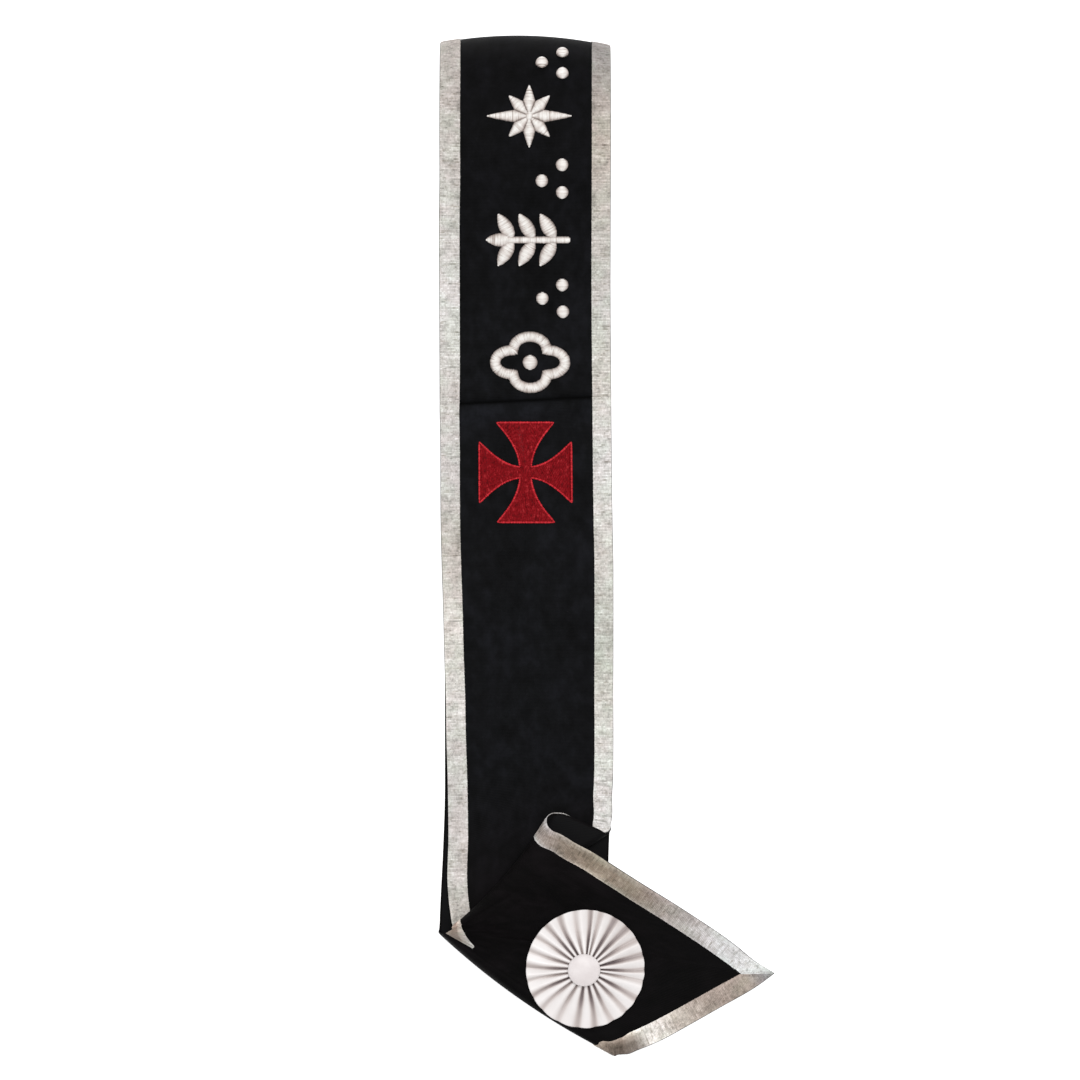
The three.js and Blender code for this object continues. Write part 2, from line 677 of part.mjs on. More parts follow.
// Pleats run out from under the button and open towards the rim.
function pleatHeight(angle, share) {
  const { pleats, innerDepth, rimDepth, middleRise } = ROSETTE;
  const depth = innerDepth + (rimDepth - innerDepth) * share;
  return depth * Math.cos(pleats * angle) + middleRise * (1 - share) ** 1.5;
}

function addPleats(frame) {
  const { radius, hole, pleats, stepsPerPleat } = ROSETTE;
  const rings = [hole / radius, 0.4, 0.7, 1];
  const sides = pleats * stepsPerPleat;
  const sections = [];
  for (let k = 0; k < sides; k++) {
    const angle = (2 * Math.PI * k) / sides;
    const at = (share, rise) =>
      new THREE.Vector3(
        radius * share * Math.cos(angle),
        radius * share * Math.sin(angle),
        pleatHeight(angle, share) + rise,
      ).applyMatrix4(frame);
    const top = rings.map((share) => at(share, CLOTH));
    const under = rings.map((share) => at(share, 0)).reverse();
    sections.push([...top, ...under].reverse());
  }
  piece("rosette_pleats", loft(sections, true), whiteSatin);
}

// A round body from its profile of radius and height.
function turned(profile, sides, frame) {
  const points = profile.map(([r, z]) => new THREE.Vector2(r, z));
  return new THREE.LatheGeometry(points, sides).rotateX(Math.PI / 2).applyMatrix4(frame);
}

function addRosette() {
  const frame = rosetteFrame();
  addPleats(frame);
  const { radius, low, high } = BACKING;
  const disc = [[0, low], [radius, low], [radius, high], [0, high]];
  piece("rosette_backing", turned(disc, 32, frame), whiteSatin);
  const { profile } = BUTTON;
  const crown = profile.map(([r, z]) => [r * BUTTON.radius, BUTTON.seat + z * BUTTON.height]);
  piece("rosette_button", turned(crown, 28, frame), whiteSatin);
}

addRibbon();
addBraids();
addKnot();
addSprig();
addStar();
for (const group of DOT_GROUPS) {
  group.dots.forEach(([x, y], k) => addDome(`dot_${group.name}_${k + 1}`, x, y, DOT_RADIUS));
}
addCross();
addRosette();

export default sash;
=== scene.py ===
import math

import bmesh
import bpy
import numpy as np
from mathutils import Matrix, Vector
from mathutils.bvhtree import BVHTree


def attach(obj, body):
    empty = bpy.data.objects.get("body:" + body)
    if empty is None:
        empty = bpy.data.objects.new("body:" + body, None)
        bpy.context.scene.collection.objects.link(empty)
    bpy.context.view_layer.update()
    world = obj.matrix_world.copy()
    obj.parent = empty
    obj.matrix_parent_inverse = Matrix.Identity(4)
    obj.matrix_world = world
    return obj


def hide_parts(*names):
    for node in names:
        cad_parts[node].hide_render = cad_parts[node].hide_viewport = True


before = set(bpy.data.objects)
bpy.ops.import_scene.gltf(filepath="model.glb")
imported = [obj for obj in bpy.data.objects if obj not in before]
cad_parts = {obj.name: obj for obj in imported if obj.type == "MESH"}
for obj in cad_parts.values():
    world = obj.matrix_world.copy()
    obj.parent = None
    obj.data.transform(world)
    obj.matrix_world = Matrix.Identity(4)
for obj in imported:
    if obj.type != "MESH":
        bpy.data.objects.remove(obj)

scene = bpy.context.scene
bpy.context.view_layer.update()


# The camera
# The sash was photographed from straight above as it lay on a table, with its shoulder
# fold at the top of the picture. The camera hangs three metres over the table.
CAMERA_HEIGHT = 3.0
TABLE_SHOWN = 0.675           # metres of table from the left to the right of the picture
PICTURE_MIDDLE = (-0.0422, 0.0041)

lens = bpy.data.cameras.new("overhead_camera")
lens.lens = lens.sensor_width * CAMERA_HEIGHT / TABLE_SHOWN
camera = bpy.data.objects.new("overhead_camera", lens)
camera.location = (*PICTURE_MIDDLE, CAMERA_HEIGHT)
scene.collection.objects.link(camera)
scene.camera = camera


# The table and the light
# A white matt table top that is faintly lit from within, under one broad soft lamp
# overhead, a little towards the shoulder fold. The rest comes evenly from a white room.
TABLE_SIDE = 9.0
LAMP_AT = (0.15, 0.75, 3.3)
LAMP_SIDE = 1.7
LAMP_POWER = 70.0
ROOM_LIGHT = 0.62
TABLE_GLOW = 0.6


def add_node(tree, kind, values=(), **settings):
    """A node with its inputs set in order or by name; a socket among them is linked."""
    node = tree.nodes.new(kind)
    for name, value in settings.items():
        setattr(node, name, value)
    for key, value in (values.items() if isinstance(values, dict) else enumerate(values)):
        if isinstance(value, bpy.types.NodeSocket):
            tree.links.new(value, node.inputs[key])
        else:
            node.inputs[key].default_value = value
    return node


def speckle(tree, place, scale, detail=2.0, roughness=0.5, distortion=0.0):
    """Soft random values from 0 to 1 over a place."""
    noise = add_node(
        tree, "ShaderNodeTexNoise",
        {"Vector": place, "Scale": scale, "Detail": detail, "Roughness": roughness,
         "Distortion": distortion},
    )
    return noise.outputs["Fac"]


def tints(tree, value, stops):
    """A colour from a value, through stops of position and colour."""
    ramp = add_node(tree, "ShaderNodeValToRGB", [value])
    elements = ramp.color_ramp.elements
    elements[0].position, elements[-1].position = stops[0][0], stops[-1][0]
    elements[0].color, elements[-1].color = (*stops[0][1], 1.0), (*stops[-1][1], 1.0)
    for position, colour in stops[1:-1]:
        elements.new(position).color = (*colour, 1.0)
    return ramp.outputs["Color"]


def new_finish(name, **constants):
    """A material with its shader's constant values set; returns it, its tree and shader."""
    material = bpy.data.materials.new(name)
    material.use_nodes = True
    shader = material.node_tree.nodes["Principled BSDF"]
    for key, value in constants.items():
        shader.inputs[key.replace("_", " ")].default_value = value
    return material, material.node_tree, shader


table_top = bpy.data.objects.new("table_top", bpy.data.meshes.new("table_top"))
half = TABLE_SIDE / 2
table_top.data.from_pydata(
    [(-half, -half, 0), (half, -half, 0), (half, half, 0), (-half, half, 0)], [], [(0, 1, 2, 3)]
)
scene.collection.objects.link(table_top)
matt_white, tree, shader = new_finish(
    "matt_white", Roughness=0.85, Emission_Color=(1.0, 1.0, 1.0, 1.0),
    Emission_Strength=TABLE_GLOW,
)
object_place = add_node(tree, "ShaderNodeTexCoord").outputs["Object"]
uneven = speckle(tree, object_place, 3.0)
white = tints(tree, uneven, [(0.3, (0.93, 0.93, 0.935)), (0.7, (0.95, 0.95, 0.95))])
tree.links.new(white, shader.inputs["Base Color"])
table_top.data.materials.append(matt_white)

lamp = bpy.data.lights.new("soft_lamp", "AREA")
lamp.energy = LAMP_POWER
lamp.size = LAMP_SIDE
soft_lamp = bpy.data.objects.new("soft_lamp", lamp)
soft_lamp.location = LAMP_AT
soft_lamp.rotation_euler = Vector(LAMP_AT).to_track_quat("Z", "Y").to_euler()
scene.collection.objects.link(soft_lamp)
room = bpy.data.worlds.new("white_room")
room.use_nodes = True
room.node_tree.nodes["Background"].inputs["Color"].default_value = (1.0, 1.0, 1.0, 1.0)
room.node_tree.nodes["Background"].inputs["Strength"].default_value = ROOM_LIGHT
scene.world = room
scene.view_settings.view_transform = "Standard"


# The ribbon
# One strip of black silk ribbon 106 mm wide, woven in fine ribs, sewn to a closed loop.
# It lies folded: the upper leg face up, the hip flap turned out over it, and the lower
# leg face down on the table. Sizes are millimetres.
MM = 0.001
RIBBON_WIDTH = 106.0
BRAID_WIDTH = 12.5
BRAID_SHARE = BRAID_WIDTH / RIBBON_WIDTH
# How high its layers lie: the lower leg, the upper leg, the layer turned up and the flap
BACK_Z, FRONT_Z, RETURN_Z, FLAP_Z = 2.45, 5.3, 10.8, 14.2
RIBBON_LOW, RIBBON_TOP = 0.0, 1.0
EDGE_PRESSED = 0.7            # share of the stack's thickness that is left at its edges
EDGE_SOFT = 1.2               # how far in from an edge the stack is pressed
STACK_CORE = 0.65             # the height in the stack towards which its edges are pressed
ROW_STEP = 2.2                # the longest step between fine rows

# The shoulder fold: how far behind its front edge, how high, and how far the middle of
# the cross-line bows ahead of its ends
SHOULDER_EDGE = ((-104.2, 313.0), (1.5, 311.0))
SHOULDER_TOP = [
    (0, 9.5, 5.4), (0.9, 13.5, 5.3), (3, 18, 5.0), (7, 23.3, 4.5), (13, 29, 3.8),
    (21, 34.2, 2.9), (31, 38.6, 1.9), (42, 41.3, 1.0), (54, 42.2, 0), (68, 41, 0), (84, 38, 0),
]
SHOULDER_UNDERSIDE = [
    (26, BACK_Z, 0), (14, BACK_Z, 0.8), (7.6, 2.8, 2.6), (3.4, 4.1, 4.2), (0.8, 6.4, 5.2),
]


def cross_line(inner, outer, bow=(0, 0, 0), sag=0.0, turn=None):
    """A line across the sheet from its inner to its outer edge. bow moves its middle, sag
    lowers it between the braids, and turn says how the sheet turns over after it."""
    return {"line": np.array([*inner, *outer, *bow, sag], float), "turn": turn}


def shoulder_line(back, height, bow):
    """A cross-line of the shoulder fold, level and parallel to its front edge."""
    (inner_x, inner_y), (outer_x, outer_y) = SHOULDER_EDGE
    return cross_line((inner_x, inner_y - back, height), (outer_x, outer_y - back, height),
                      (0, bow, 0))


UPPER_LEG = [
    cross_line((-104.5, 211.5, 33.7), (1.5, 211.5, 33.7)),
    cross_line((-104.7, 190, 28.6), (1.5, 190, 28.6)),
    cross_line((-104.7, 169, 23.8), (1.5, 169, 23.8)),
    cross_line((-104.7, 149, 19.6), (1.6, 149, 19.6)),
    cross_line((-104.7, 127, 15.6), (1.8, 127, 15.6)),
    cross_line((-104.7, 109, 12.6), (2.0, 109, 12.6)),
    # A crease runs slightly aslant between the ornaments and the cross
    cross_line((-104.7, 96.5, 10.6), (2.1, 100.0, 10.8)),
    cross_line((-104.7, 90.8, 9.9), (2.2, 95.9, 10.0)),
    cross_line((-104.7, 88.3, 8.5), (2.2, 93.6, 8.6)),
    cross_line((-104.7, 85.9, 9.4), (2.2, 91.0, 9.5)),
    cross_line((-104.5, 76, 8.4), (2.3, 80, 8.4)),
    cross_line((-104.1, 12, 5.9), (3.1, 12, 5.9)),
    cross_line((-103.4, -15, 5.9), (3.6, -15, 6.3)),
    cross_line((-102.6, -38, 6.5), (3.6, -38, 6.9)),
    cross_line((-102.0, -64, 5.8), (3.6, -64, 6.0)),
    cross_line((-101.2, -92, 5.4), (3.5, -92, 5.4)),
    cross_line((-100.8, -120, 5.7), (3.6, -118, 5.8)),
    cross_line((-100.0, -148, FRONT_Z), (3.4, -143, FRONT_Z)),
    cross_line((-99.6, -182, FRONT_Z), (2.8, -156, FRONT_Z)),
    cross_line((-100.1, -211, FRONT_Z), (2.9, -166, FRONT_Z)),
    cross_line((-98.6, -227, FRONT_Z), (2.4, -171, FRONT_Z)),
    # It turns up at the bottom, face to face with itself
    cross_line((-96.4, -238.0, FRONT_Z), (1.9, -175.2, FRONT_Z),
               turn={"inner": 2.4, "outer": 2.4, "steps": 6}),
]
RETURN_LAYER = [
    cross_line((-95.6, -236.9, RETURN_Z), (-3.2, -177.4, RETURN_Z)),
    cross_line((-96.2, -237.3, RETURN_Z), (-15.9, -171.6, RETURN_Z)),
    cross_line((-96.8, -237.7, RETURN_Z), (-29.8, -166.3, RETURN_Z), (2.4, -3.2, 0),
               turn={"inner": 0.2, "outer": 7.5, "towards": (-0.99, 0.13, 0), "steps": 8}),
]
# The hip flap, face up, from its soft roll round the hip point to its lower fold
FLAP = [
    cross_line((-96.8, -237.7, FLAP_Z), (-30.8, -177.4, 23.4), (2.4, -3.2, 0)),
    cross_line((-97.1, -237.9, FLAP_Z), (-20.2, -183.5, 22.8), (0.8, -1.6, 0)),
    cross_line((-97.4, -238.1, FLAP_Z), (-9.9, -189.0, 21.0)),
    cross_line((-97.8, -238.3, FLAP_Z), (1.8, -196.8, 18.0)),
    cross_line((-98.1, -238.5, FLAP_Z), (18.4, -207.8, 12.5)),
    cross_line((-98.5, -238.7, FLAP_Z), (48.4, -227.0, 6.5)),
    cross_line((-98.9, -238.9, FLAP_Z), (78.4, -247.6, 3.4)),
    cross_line((-99.3, -239.1, FLAP_Z), (94.6, -260.6, 2.2)),
    cross_line((-99.7, -239.3, FLAP_Z), (104.2, -266.4, 2.4)),
    cross_line((-100.1, -239.6, FLAP_Z), (93.2, -274.5, 1.9)),
    cross_line((-100.5, -239.8, FLAP_Z), (69.8, -288.0, 1.9)),
    cross_line((-100.8, -240.0, FLAP_Z), (48.2, -300.2, 2.4)),
    cross_line((-101.1, -240.2, FLAP_Z), (33.4, -308.1, 3.6)),
    cross_line((-101.4, -240.4, FLAP_Z), (18.4, -314.3, 5.2)),
    cross_line((-101.6, -240.5, FLAP_Z), (12.2, -316.6, 6.4)),
    cross_line((-101.7, -240.6, FLAP_Z), (5.6, -316.8, 7.8),
               turn={"inner": 1.2, "outer": 0.7, "bow": (-2.7, -4.1, 0), "steps": 8}),
]
LOWER_LEG = [
    cross_line((-105.2, -239.0, BACK_Z), (2.4, -313.2, BACK_Z)),
    cross_line((-104.7, -229, BACK_Z), (1.6, -281, BACK_Z), sag=1.0),
    cross_line((-103.9, -212, BACK_Z), (1.0, -246, BACK_Z), sag=1.3),
    cross_line((-102.8, -190, BACK_Z), (0.4, -209, BACK_Z), sag=1.3),
    cross_line((-101.6, -148, BACK_Z), (1.8, -160, BACK_Z), sag=1.3),
    cross_line((-101.6, -92, BACK_Z), (2.9, -94, BACK_Z), sag=1.3),
    cross_line((-101.9, -38, BACK_Z), (3.0, -38, BACK_Z), sag=1.3),
    cross_line((-103.0, 12, BACK_Z), (2.6, 12, BACK_Z), sag=1.3),
    cross_line((-103.8, 90, BACK_Z), (1.7, 90, BACK_Z), sag=1.3),
    cross_line((-104.0, 169, BACK_Z), (1.2, 169, BACK_Z), sag=1.3),
    cross_line((-104.1, 230, BACK_Z), (1.3, 230, BACK_Z), sag=1.3),
    cross_line((-104.2, 262, BACK_Z), (1.4, 261, BACK_Z), sag=0.6),
]
CREASE_ROW = 8                # the upper leg's row at the bottom of the crease
TIP_ROW = 8                   # the flap's row that ends at the hip point
LEG_START = len(SHOULDER_TOP)
FLAP_START = LEG_START + len(UPPER_LEG) + len(RETURN_LAYER)
SHARP_FROM = math.radians(50)  # folds of a piece that are steeper than this are crisp


def turned_over(before, start, end, turn):
    """Cross-lines of half a turn from one row to the next, each end on half an ellipse."""
    if "towards" in turn:
        reach = np.array(turn["towards"])
    else:
        along = start[3:6] - start[0:3]
        reach = np.array([-along[1], along[0], 0.0]) / math.hypot(along[0], along[1])
        ahead = start[0:3] + start[3:6] - before[0:3] - before[3:6]
        reach *= math.copysign(1.0, reach @ ahead)
    lines = []
    for k in range(1, turn["steps"]):
        angle = math.pi * k / turn["steps"]
        line = start + (end - start) * (1 - math.cos(angle)) / 2
        line[0:3] += reach * turn["inner"] * math.sin(angle)
        line[3:6] += reach * turn["outer"] * math.sin(angle)
        line[6:9] += np.array(turn.get("bow", (0, 0, 0))) * math.sin(angle)
        lines.append(line)
    return lines


rows = [shoulder_line(*numbers) for numbers in SHOULDER_TOP]
rows += UPPER_LEG + RETURN_LAYER + FLAP + LOWER_LEG
rows += [shoulder_line(*numbers) for numbers in SHOULDER_UNDERSIDE]
lines, line_of_row = [], []
for k, this_row in enumerate(rows):
    line_of_row.append(len(lines))
    lines.append(this_row["line"])
    if this_row["turn"]:
        lines += turned_over(rows[k - 1]["line"], this_row["line"], rows[k + 1]["line"],
                             this_row["turn"])
lines = np.array(lines)

# Finer rows on a smooth curve through the cross-lines, once round the loop
ahead = np.roll(lines, -1, axis=0)
ends_apart = np.stack([
    np.linalg.norm(ahead[:, 0:3] - lines[:, 0:3], axis=1),
    np.linalg.norm(ahead[:, 3:6] - lines[:, 3:6], axis=1),
])
spans = np.maximum(ends_apart.mean(axis=0), 0.3)
knots = np.concatenate([[0], np.cumsum(spans)])
pieces_each = np.maximum(2, np.ceil(ends_apart.max(axis=0) / ROW_STEP)).astype(int)
row_at = np.concatenate([
    knots[k] + spans[k] * np.arange(n) / n for k, n in enumerate(pieces_each)
])
fine_of_line = np.concatenate([[0], np.cumsum(pieces_each)])


def smooth_through(values, at, corner):
    """Values of the closed loop of cross-lines at finer places, without overshoot. They
    run smoothly through every line but the corner, where they turn sharply."""
    length = knots[-1]
    s = np.concatenate([knots[-4:-1] - length, knots[:-1], knots[:3] + length])
    v = np.concatenate([values[-3:], values, values[:3]])
    gaps = np.diff(s)[:, None]
    rates = np.diff(v, axis=0) / gaps
    slopes = np.zeros_like(v)
    share = gaps[1:] / (gaps[:-1] + gaps[1:])
    limit = 3 * np.minimum(abs(rates[:-1]), abs(rates[1:]))
    slopes[1:-1] = np.clip(rates[:-1] * share + rates[1:] * (1 - share), -limit, limit)
    leaving, arriving = slopes[:-1].copy(), slopes[1:].copy()
    leaving[corner + 3] = rates[corner + 3]
    arriving[corner + 2] = rates[corner + 2]
    i = np.clip(np.searchsorted(s, at, side="right") - 1, 0, len(s) - 2)
    gap = gaps[i]
    t = ((at - s[i]) / np.diff(s)[i])[:, None]
    return (
        v[i] * (1 + 2 * t) * (1 - t) ** 2 + leaving[i] * gap * t * (1 - t) ** 2
        + v[i + 1] * t * t * (3 - 2 * t) + arriving[i] * gap * t * t * (t - 1)
    )


fine_lines = smooth_through(lines, row_at, line_of_row[FLAP_START + TIP_ROW])
ROWS = len(fine_lines)


def line_at(row):
    """The cross-line at a fine row, which may lie between two of them."""
    base = np.floor(row).astype(int)
    share = (row - base)[..., None]
    return fine_lines[base % ROWS] * (1 - share) + fine_lines[(base + 1) % ROWS] * share


def middle(row, t):
    """Points of the sheet's middle surface at fine rows and shares of the way across."""
    row, t = np.broadcast_arrays(np.asarray(row, float), np.asarray(t, float))
    line = line_at(row)
    clear = np.clip((t - BRAID_SHARE) / (1 - 2 * BRAID_SHARE), 0, 1)
    points = line[..., 0:3] + (line[..., 3:6] - line[..., 0:3]) * t[..., None]
    points = points + line[..., 6:9] * (4 * t * (1 - t))[..., None]
    points[..., 2] -= line[..., 9] * 4 * clear * (1 - clear)
    return points


def unit(vectors):
    return vectors / np.maximum(np.linalg.norm(vectors, axis=-1, keepdims=True), 1e-9)


def facing(row, t):
    """The face side's normal. Near the flap's inner corner, where the cross-lines fan out
    from almost one point, the running direction is read a little further out."""
    row, t = np.broadcast_arrays(np.asarray(row, float), np.asarray(t, float))
    steady = np.maximum(t, 0.25)
    low = np.minimum(t, 0.98)
    along = middle(row + 1, steady) - middle(row - 1, steady)
    return unit(np.cross(along, middle(row, low + 0.02) - middle(row, low)))


def on_cloth(row, t, height):
    """Points over the sheet's middle surface. The stack of cloths thins at its edges."""
    row, t, height = np.broadcast_arrays(
        np.asarray(row, float), np.asarray(t, float), np.asarray(height, float)
    )
    inside = np.clip(np.minimum(t, 1 - t) * RIBBON_WIDTH / EDGE_SOFT, 0, 1)
    full = EDGE_PRESSED + (1 - EDGE_PRESSED) * inside * inside * (3 - 2 * inside)
    lift = STACK_CORE + (height - STACK_CORE) * full
    return middle(row, t) + facing(row, t) * lift[..., None]


steps_along = np.linalg.norm(
    middle(np.arange(ROWS) + 1, 0.5) - middle(np.arange(ROWS), 0.5), axis=-1
)
run_at_row = np.concatenate([[0], np.cumsum(steps_along)])
RIBBON_RUN = run_at_row[-1]


def make_piece(name, points, faces, material, corners=None):
    """A smooth piece from points in millimetres. corners are its cloth coordinates, in
    millimetres across and along, one pair for each corner of each face."""
    mesh = bpy.data.meshes.new(name)
    mesh.from_pydata((np.reshape(points, (-1, 3)) * MM).tolist(), [], faces)
    if corners is not None:
        layer = mesh.uv_layers.new(name="cloth")
        layer.data.foreach_set("uv", np.asarray(corners, float).ravel())
    outward = bmesh.new()
    outward.from_mesh(mesh)
    bmesh.ops.recalc_face_normals(outward, faces=outward.faces)
    outward.to_mesh(mesh)
    outward.free()
    mesh.shade_smooth()
    mesh.materials.append(material)
    piece = bpy.data.objects.new(name, mesh)
    scene.collection.objects.link(piece)
    return piece


def skin(sections, sides, stations=None, closed=False, ring=True):
    """Quads over a grid of sections, and the cloth coordinates of their corners. sides
    and stations give each point's coordinate across and along."""
    count, size = sections.shape[:2]
    stations = np.arange(count + 1.0) if stations is None else np.asarray(stations)
    i, j = np.meshgrid(
        np.arange(count if closed else count - 1), np.arange(size if ring else size - 1),
        indexing="ij",
    )
    i, j = i.ravel(), j.ravel()
    i2, n = (i + 1) % count, (j + 1) % size
    faces = np.stack([i * size + j, i2 * size + j, i2 * size + n, i * size + n], axis=1)
    across = np.stack([sides[j], sides[j], sides[n], sides[n]], axis=1)
    along = np.stack([stations[i], stations[i + 1], stations[i + 1], stations[i]], axis=1)
    return faces.tolist(), np.stack([across, along], axis=-1)


def layer_of_cloth(name, shares, low, high, material):
    """A closed layer of the sheet between two heights, right round the loop."""
    rows_here = np.arange(ROWS)[:, None]
    top = on_cloth(rows_here, shares[None, :], high)
    under = on_cloth(rows_here, shares[None, ::-1], low)
    sections = np.concatenate([top, under], axis=1)
    sides = np.concatenate([shares, shares[::-1]]) * RIBBON_WIDTH
    faces, corners = skin(sections, sides, run_at_row, closed=True)
    piece = make_piece(name, sections, faces, material, corners)
    piece.data.set_sharp_from_angle(angle=SHARP_FROM)
    return piece


def hand_over(piece, slot, *nodes):
    """Gives a finished piece its body and hides the plain solids that it replaces. Its slot is not
    used.
    """
    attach(piece, "root")
    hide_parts(*nodes)


def sum_up(tree, operation, a, b=0.0, c=0.0):
    """A value worked out from others in a tree of nodes."""
    return add_node(tree, "ShaderNodeMath", [a, b, c], operation=operation).outputs[0]


def blended(tree, share, first, second, mode="MIX"):
    """A mix of two colours by a share, which may be a value of the tree."""
    mix = add_node(
        tree, "ShaderNodeMix", {0: share, 6: first, 7: second}, data_type="RGBA", blend_type=mode
    )
    return mix.outputs[2]


def tinted(tree, colour, *others):
    """A colour multiplied by others, one after another."""
    for other in others:
        colour = blended(tree, 1.0, colour, other, "MULTIPLY")
    return colour


def stretched(tree, place, scale, moved=(0.0, 0.0, 0.0)):
    """A place with a scale of its own in each of its directions."""
    mapping = add_node(
        tree, "ShaderNodeMapping", {"Vector": place, "Location": moved, "Scale": scale}
    )
    return mapping.outputs["Vector"]


def cloth_place(tree, across, along):
    """Cloth coordinates with a scale of their own across and along."""
    coordinates = add_node(tree, "ShaderNodeUVMap", uv_map="cloth").outputs["UV"]
    return stretched(tree, coordinates, (across, along, 1.0))


def bands(tree, place, scale, distortion, detail, direction="DIAGONAL", detail_scale=1.0):
    """Soft regular bands over a place, such as a weave's ribs or a thread's twist."""
    wave = add_node(
        tree, "ShaderNodeTexWave",
        {"Vector": place, "Scale": scale, "Distortion": distortion, "Detail": detail,
         "Detail Scale": detail_scale},
        wave_type="BANDS", bands_direction=direction,
    )
    return wave.outputs["Fac"]


def coat(tree, shader, colour, roughness=None):
    """Gives a shader its colour and how rough it is over the piece."""
    tree.links.new(colour, shader.inputs["Base Color"])
    if roughness is not None:
        tree.links.new(roughness, shader.inputs["Roughness"])


def raise_grain(tree, shader, height, depth):
    """Bump from a height value, depth metres deep."""
    bump = add_node(
        tree, "ShaderNodeBump", {"Strength": 1.0, "Distance": depth, "Height": height}
    )
    tree.links.new(bump.outputs["Normal"], shader.inputs["Normal"])


def across_shares(inset, step):
    """Shares across the ribbon, closer together at its two edges."""
    rim = np.array([0, 0.3, 0.8, 1.6, 2.6, 3.8]) + inset
    inside = np.linspace(rim[-1] + step, RIBBON_WIDTH - rim[-1] - step,
                         round((RIBBON_WIDTH - 2 * rim[-1]) / step) - 1)
    return np.concatenate([rim, inside, RIBBON_WIDTH - rim[::-1]]) / RIBBON_WIDTH


CREASE_SHADE = 40.0           # how far along the ribbon the crease's shading reaches

black_ribbon, tree, shader = new_finish(
    "black_ribbon", Specular_IOR_Level=0.05, Sheen_Weight=0.004, Sheen_Roughness=0.4
)
along_only = add_node(tree, "ShaderNodeSeparateXYZ", [cloth_place(tree, 1, 1)]).outputs[1]
run_share = sum_up(tree, "MULTIPLY", along_only, 1 / RIBBON_RUN)
# Painted shade: the black is darker at the shoulder and from the flap on than along the middle of
# the upper leg
shaded_black = tints(tree, run_share, [
    (0.0, (0.0019, 0.0018, 0.0023)), (0.15, (0.0036, 0.0037, 0.0044)),
    (0.36, (0.0036, 0.0038, 0.0046)), (0.41, (0.0024, 0.0018, 0.0020)),
    (0.5, (0.0022, 0.0017, 0.0019)),
])
mottled = speckle(tree, cloth_place(tree, 0.12, 0.09), 1.0, 4.0, 0.62)
cloudy = speckle(tree, cloth_place(tree, 0.04, 0.022), 1.0, 2.0, 0.5)
shade = tints(tree, sum_up(tree, "MULTIPLY_ADD", mottled, 0.55,
                           sum_up(tree, "MULTIPLY", cloudy, 0.45)),
              [(0.36, (0.35, 0.35, 0.35)), (0.5, (1.0, 1.0, 1.0)), (0.64, (2.0, 2.0, 2.1))])
crease_run = run_at_row[fine_of_line[line_of_row[LEG_START + CREASE_ROW]]]
from_crease = sum_up(tree, "MULTIPLY_ADD", along_only, 1 / CREASE_SHADE,
                     0.5 - crease_run / CREASE_SHADE)
# Painted shade: a dark line along the crease, with a painted lighter band just past it along the
# run
crease_shade_and_highlight = tints(tree, from_crease, [
    (0.3, (1.0, 1.0, 1.0)), (0.44, (0.8, 0.8, 0.8)), (0.49, (0.1, 0.1, 0.1)),
    (0.51, (0.1, 0.1, 0.1)), (0.56, (1.2, 1.22, 1.26)), (0.68, (1.5, 1.53, 1.6)),
    (0.95, (1.0, 1.0, 1.0)),
])
coat(tree, shader, tinted(tree, shaded_black, crease_shade_and_highlight, shade),
     sum_up(tree, "MULTIPLY_ADD", cloudy, 0.3, 0.46))
ribs = bands(tree, cloth_place(tree, 0.02, 1.0), 0.36, 0.8, 2.0, "Y", 1.5)
threads = speckle(tree, cloth_place(tree, 3.2, 1.1), 1.0, 3.0, 0.7)
raise_grain(tree, shader, sum_up(tree, "ADD", sum_up(tree, "MULTIPLY", ribs, 0.5), threads),
            0.00014)

ribbon = layer_of_cloth("black_silk_ribbon", across_shares(0.0, 2.4), RIBBON_LOW, RIBBON_TOP,
                        black_ribbon)
hand_over(ribbon, "ribbon_cloth", "ribbon")


# The lining
# A strip of thinner black cloth, woven in a fine twill. It is slip-stitched to the back
# of the ribbon a little inside its edges, and shows where the sheet rolls over.
LINING_LOW, LINING_TOP = -0.75, -0.1
LINING_INSET = 1.2

lining_cloth, tree, shader = new_finish("lining_cloth", Specular_IOR_Level=0.06)
twill = bands(tree, cloth_place(tree, 1.0, 1.0), 0.42, 0.4, 1.0)
rumpled = speckle(tree, cloth_place(tree, 0.05, 0.12), 1.0, 3.0, 0.6)
dull_black = tints(tree, rumpled, [
    (0.3, (0.0028, 0.0027, 0.003)), (0.7, (0.0055, 0.0053, 0.0058)),
])
coat(tree, shader, dull_black, sum_up(tree, "MULTIPLY_ADD", rumpled, 0.25, 0.5))
raise_grain(tree, shader, sum_up(tree, "MULTIPLY_ADD", rumpled, 3.0, twill), 0.00006)

lining = layer_of_cloth("black_lining", across_shares(LINING_INSET, 5.0), LINING_LOW,
                        LINING_TOP, lining_cloth)
hand_over(lining, "lining_cloth", "lining")


# The silver braids
# A flat metal braid runs along each edge of the ribbon's face: a woven strip with a fine
# cross rib of wound silver thread, laid square to the edge and mitred at the hip point.
BRAID_LOW, BRAID_TOP, RIB_CORE, RIB_HEIGHT = 0.95, 1.42, 1.38, 0.42
BRAID_INSET = 0.3             # the braid stops this short of the ribbon's edge
BRAID_SHOWN = BRAID_WIDTH - BRAID_INSET
RIB_PITCH, RIB_WIDTH = 0.95, 1.0925
RIB_STATIONS = 9
STRIP_TONE = 0.3              # the strip's place in the threads' range of tones
RIB_ENDS = 0.018              # how much longer or shorter than the others a rib may be
SHORTEST_RIB = 0.08           # shorter shares of a rib are left out at the mitre
WALK_STEPS = 40               # fine steps over the braid's width
# Fine rows on each side of the hip point: where the ribs keep the edge's direction, which
# ones show the mitre's seam, how far the mitre can cut and where the strip is finer
STEADY_ROWS, SEAM_ROWS, MITRE_ROWS, CRISP_ROWS = 12, 10, 24, 16
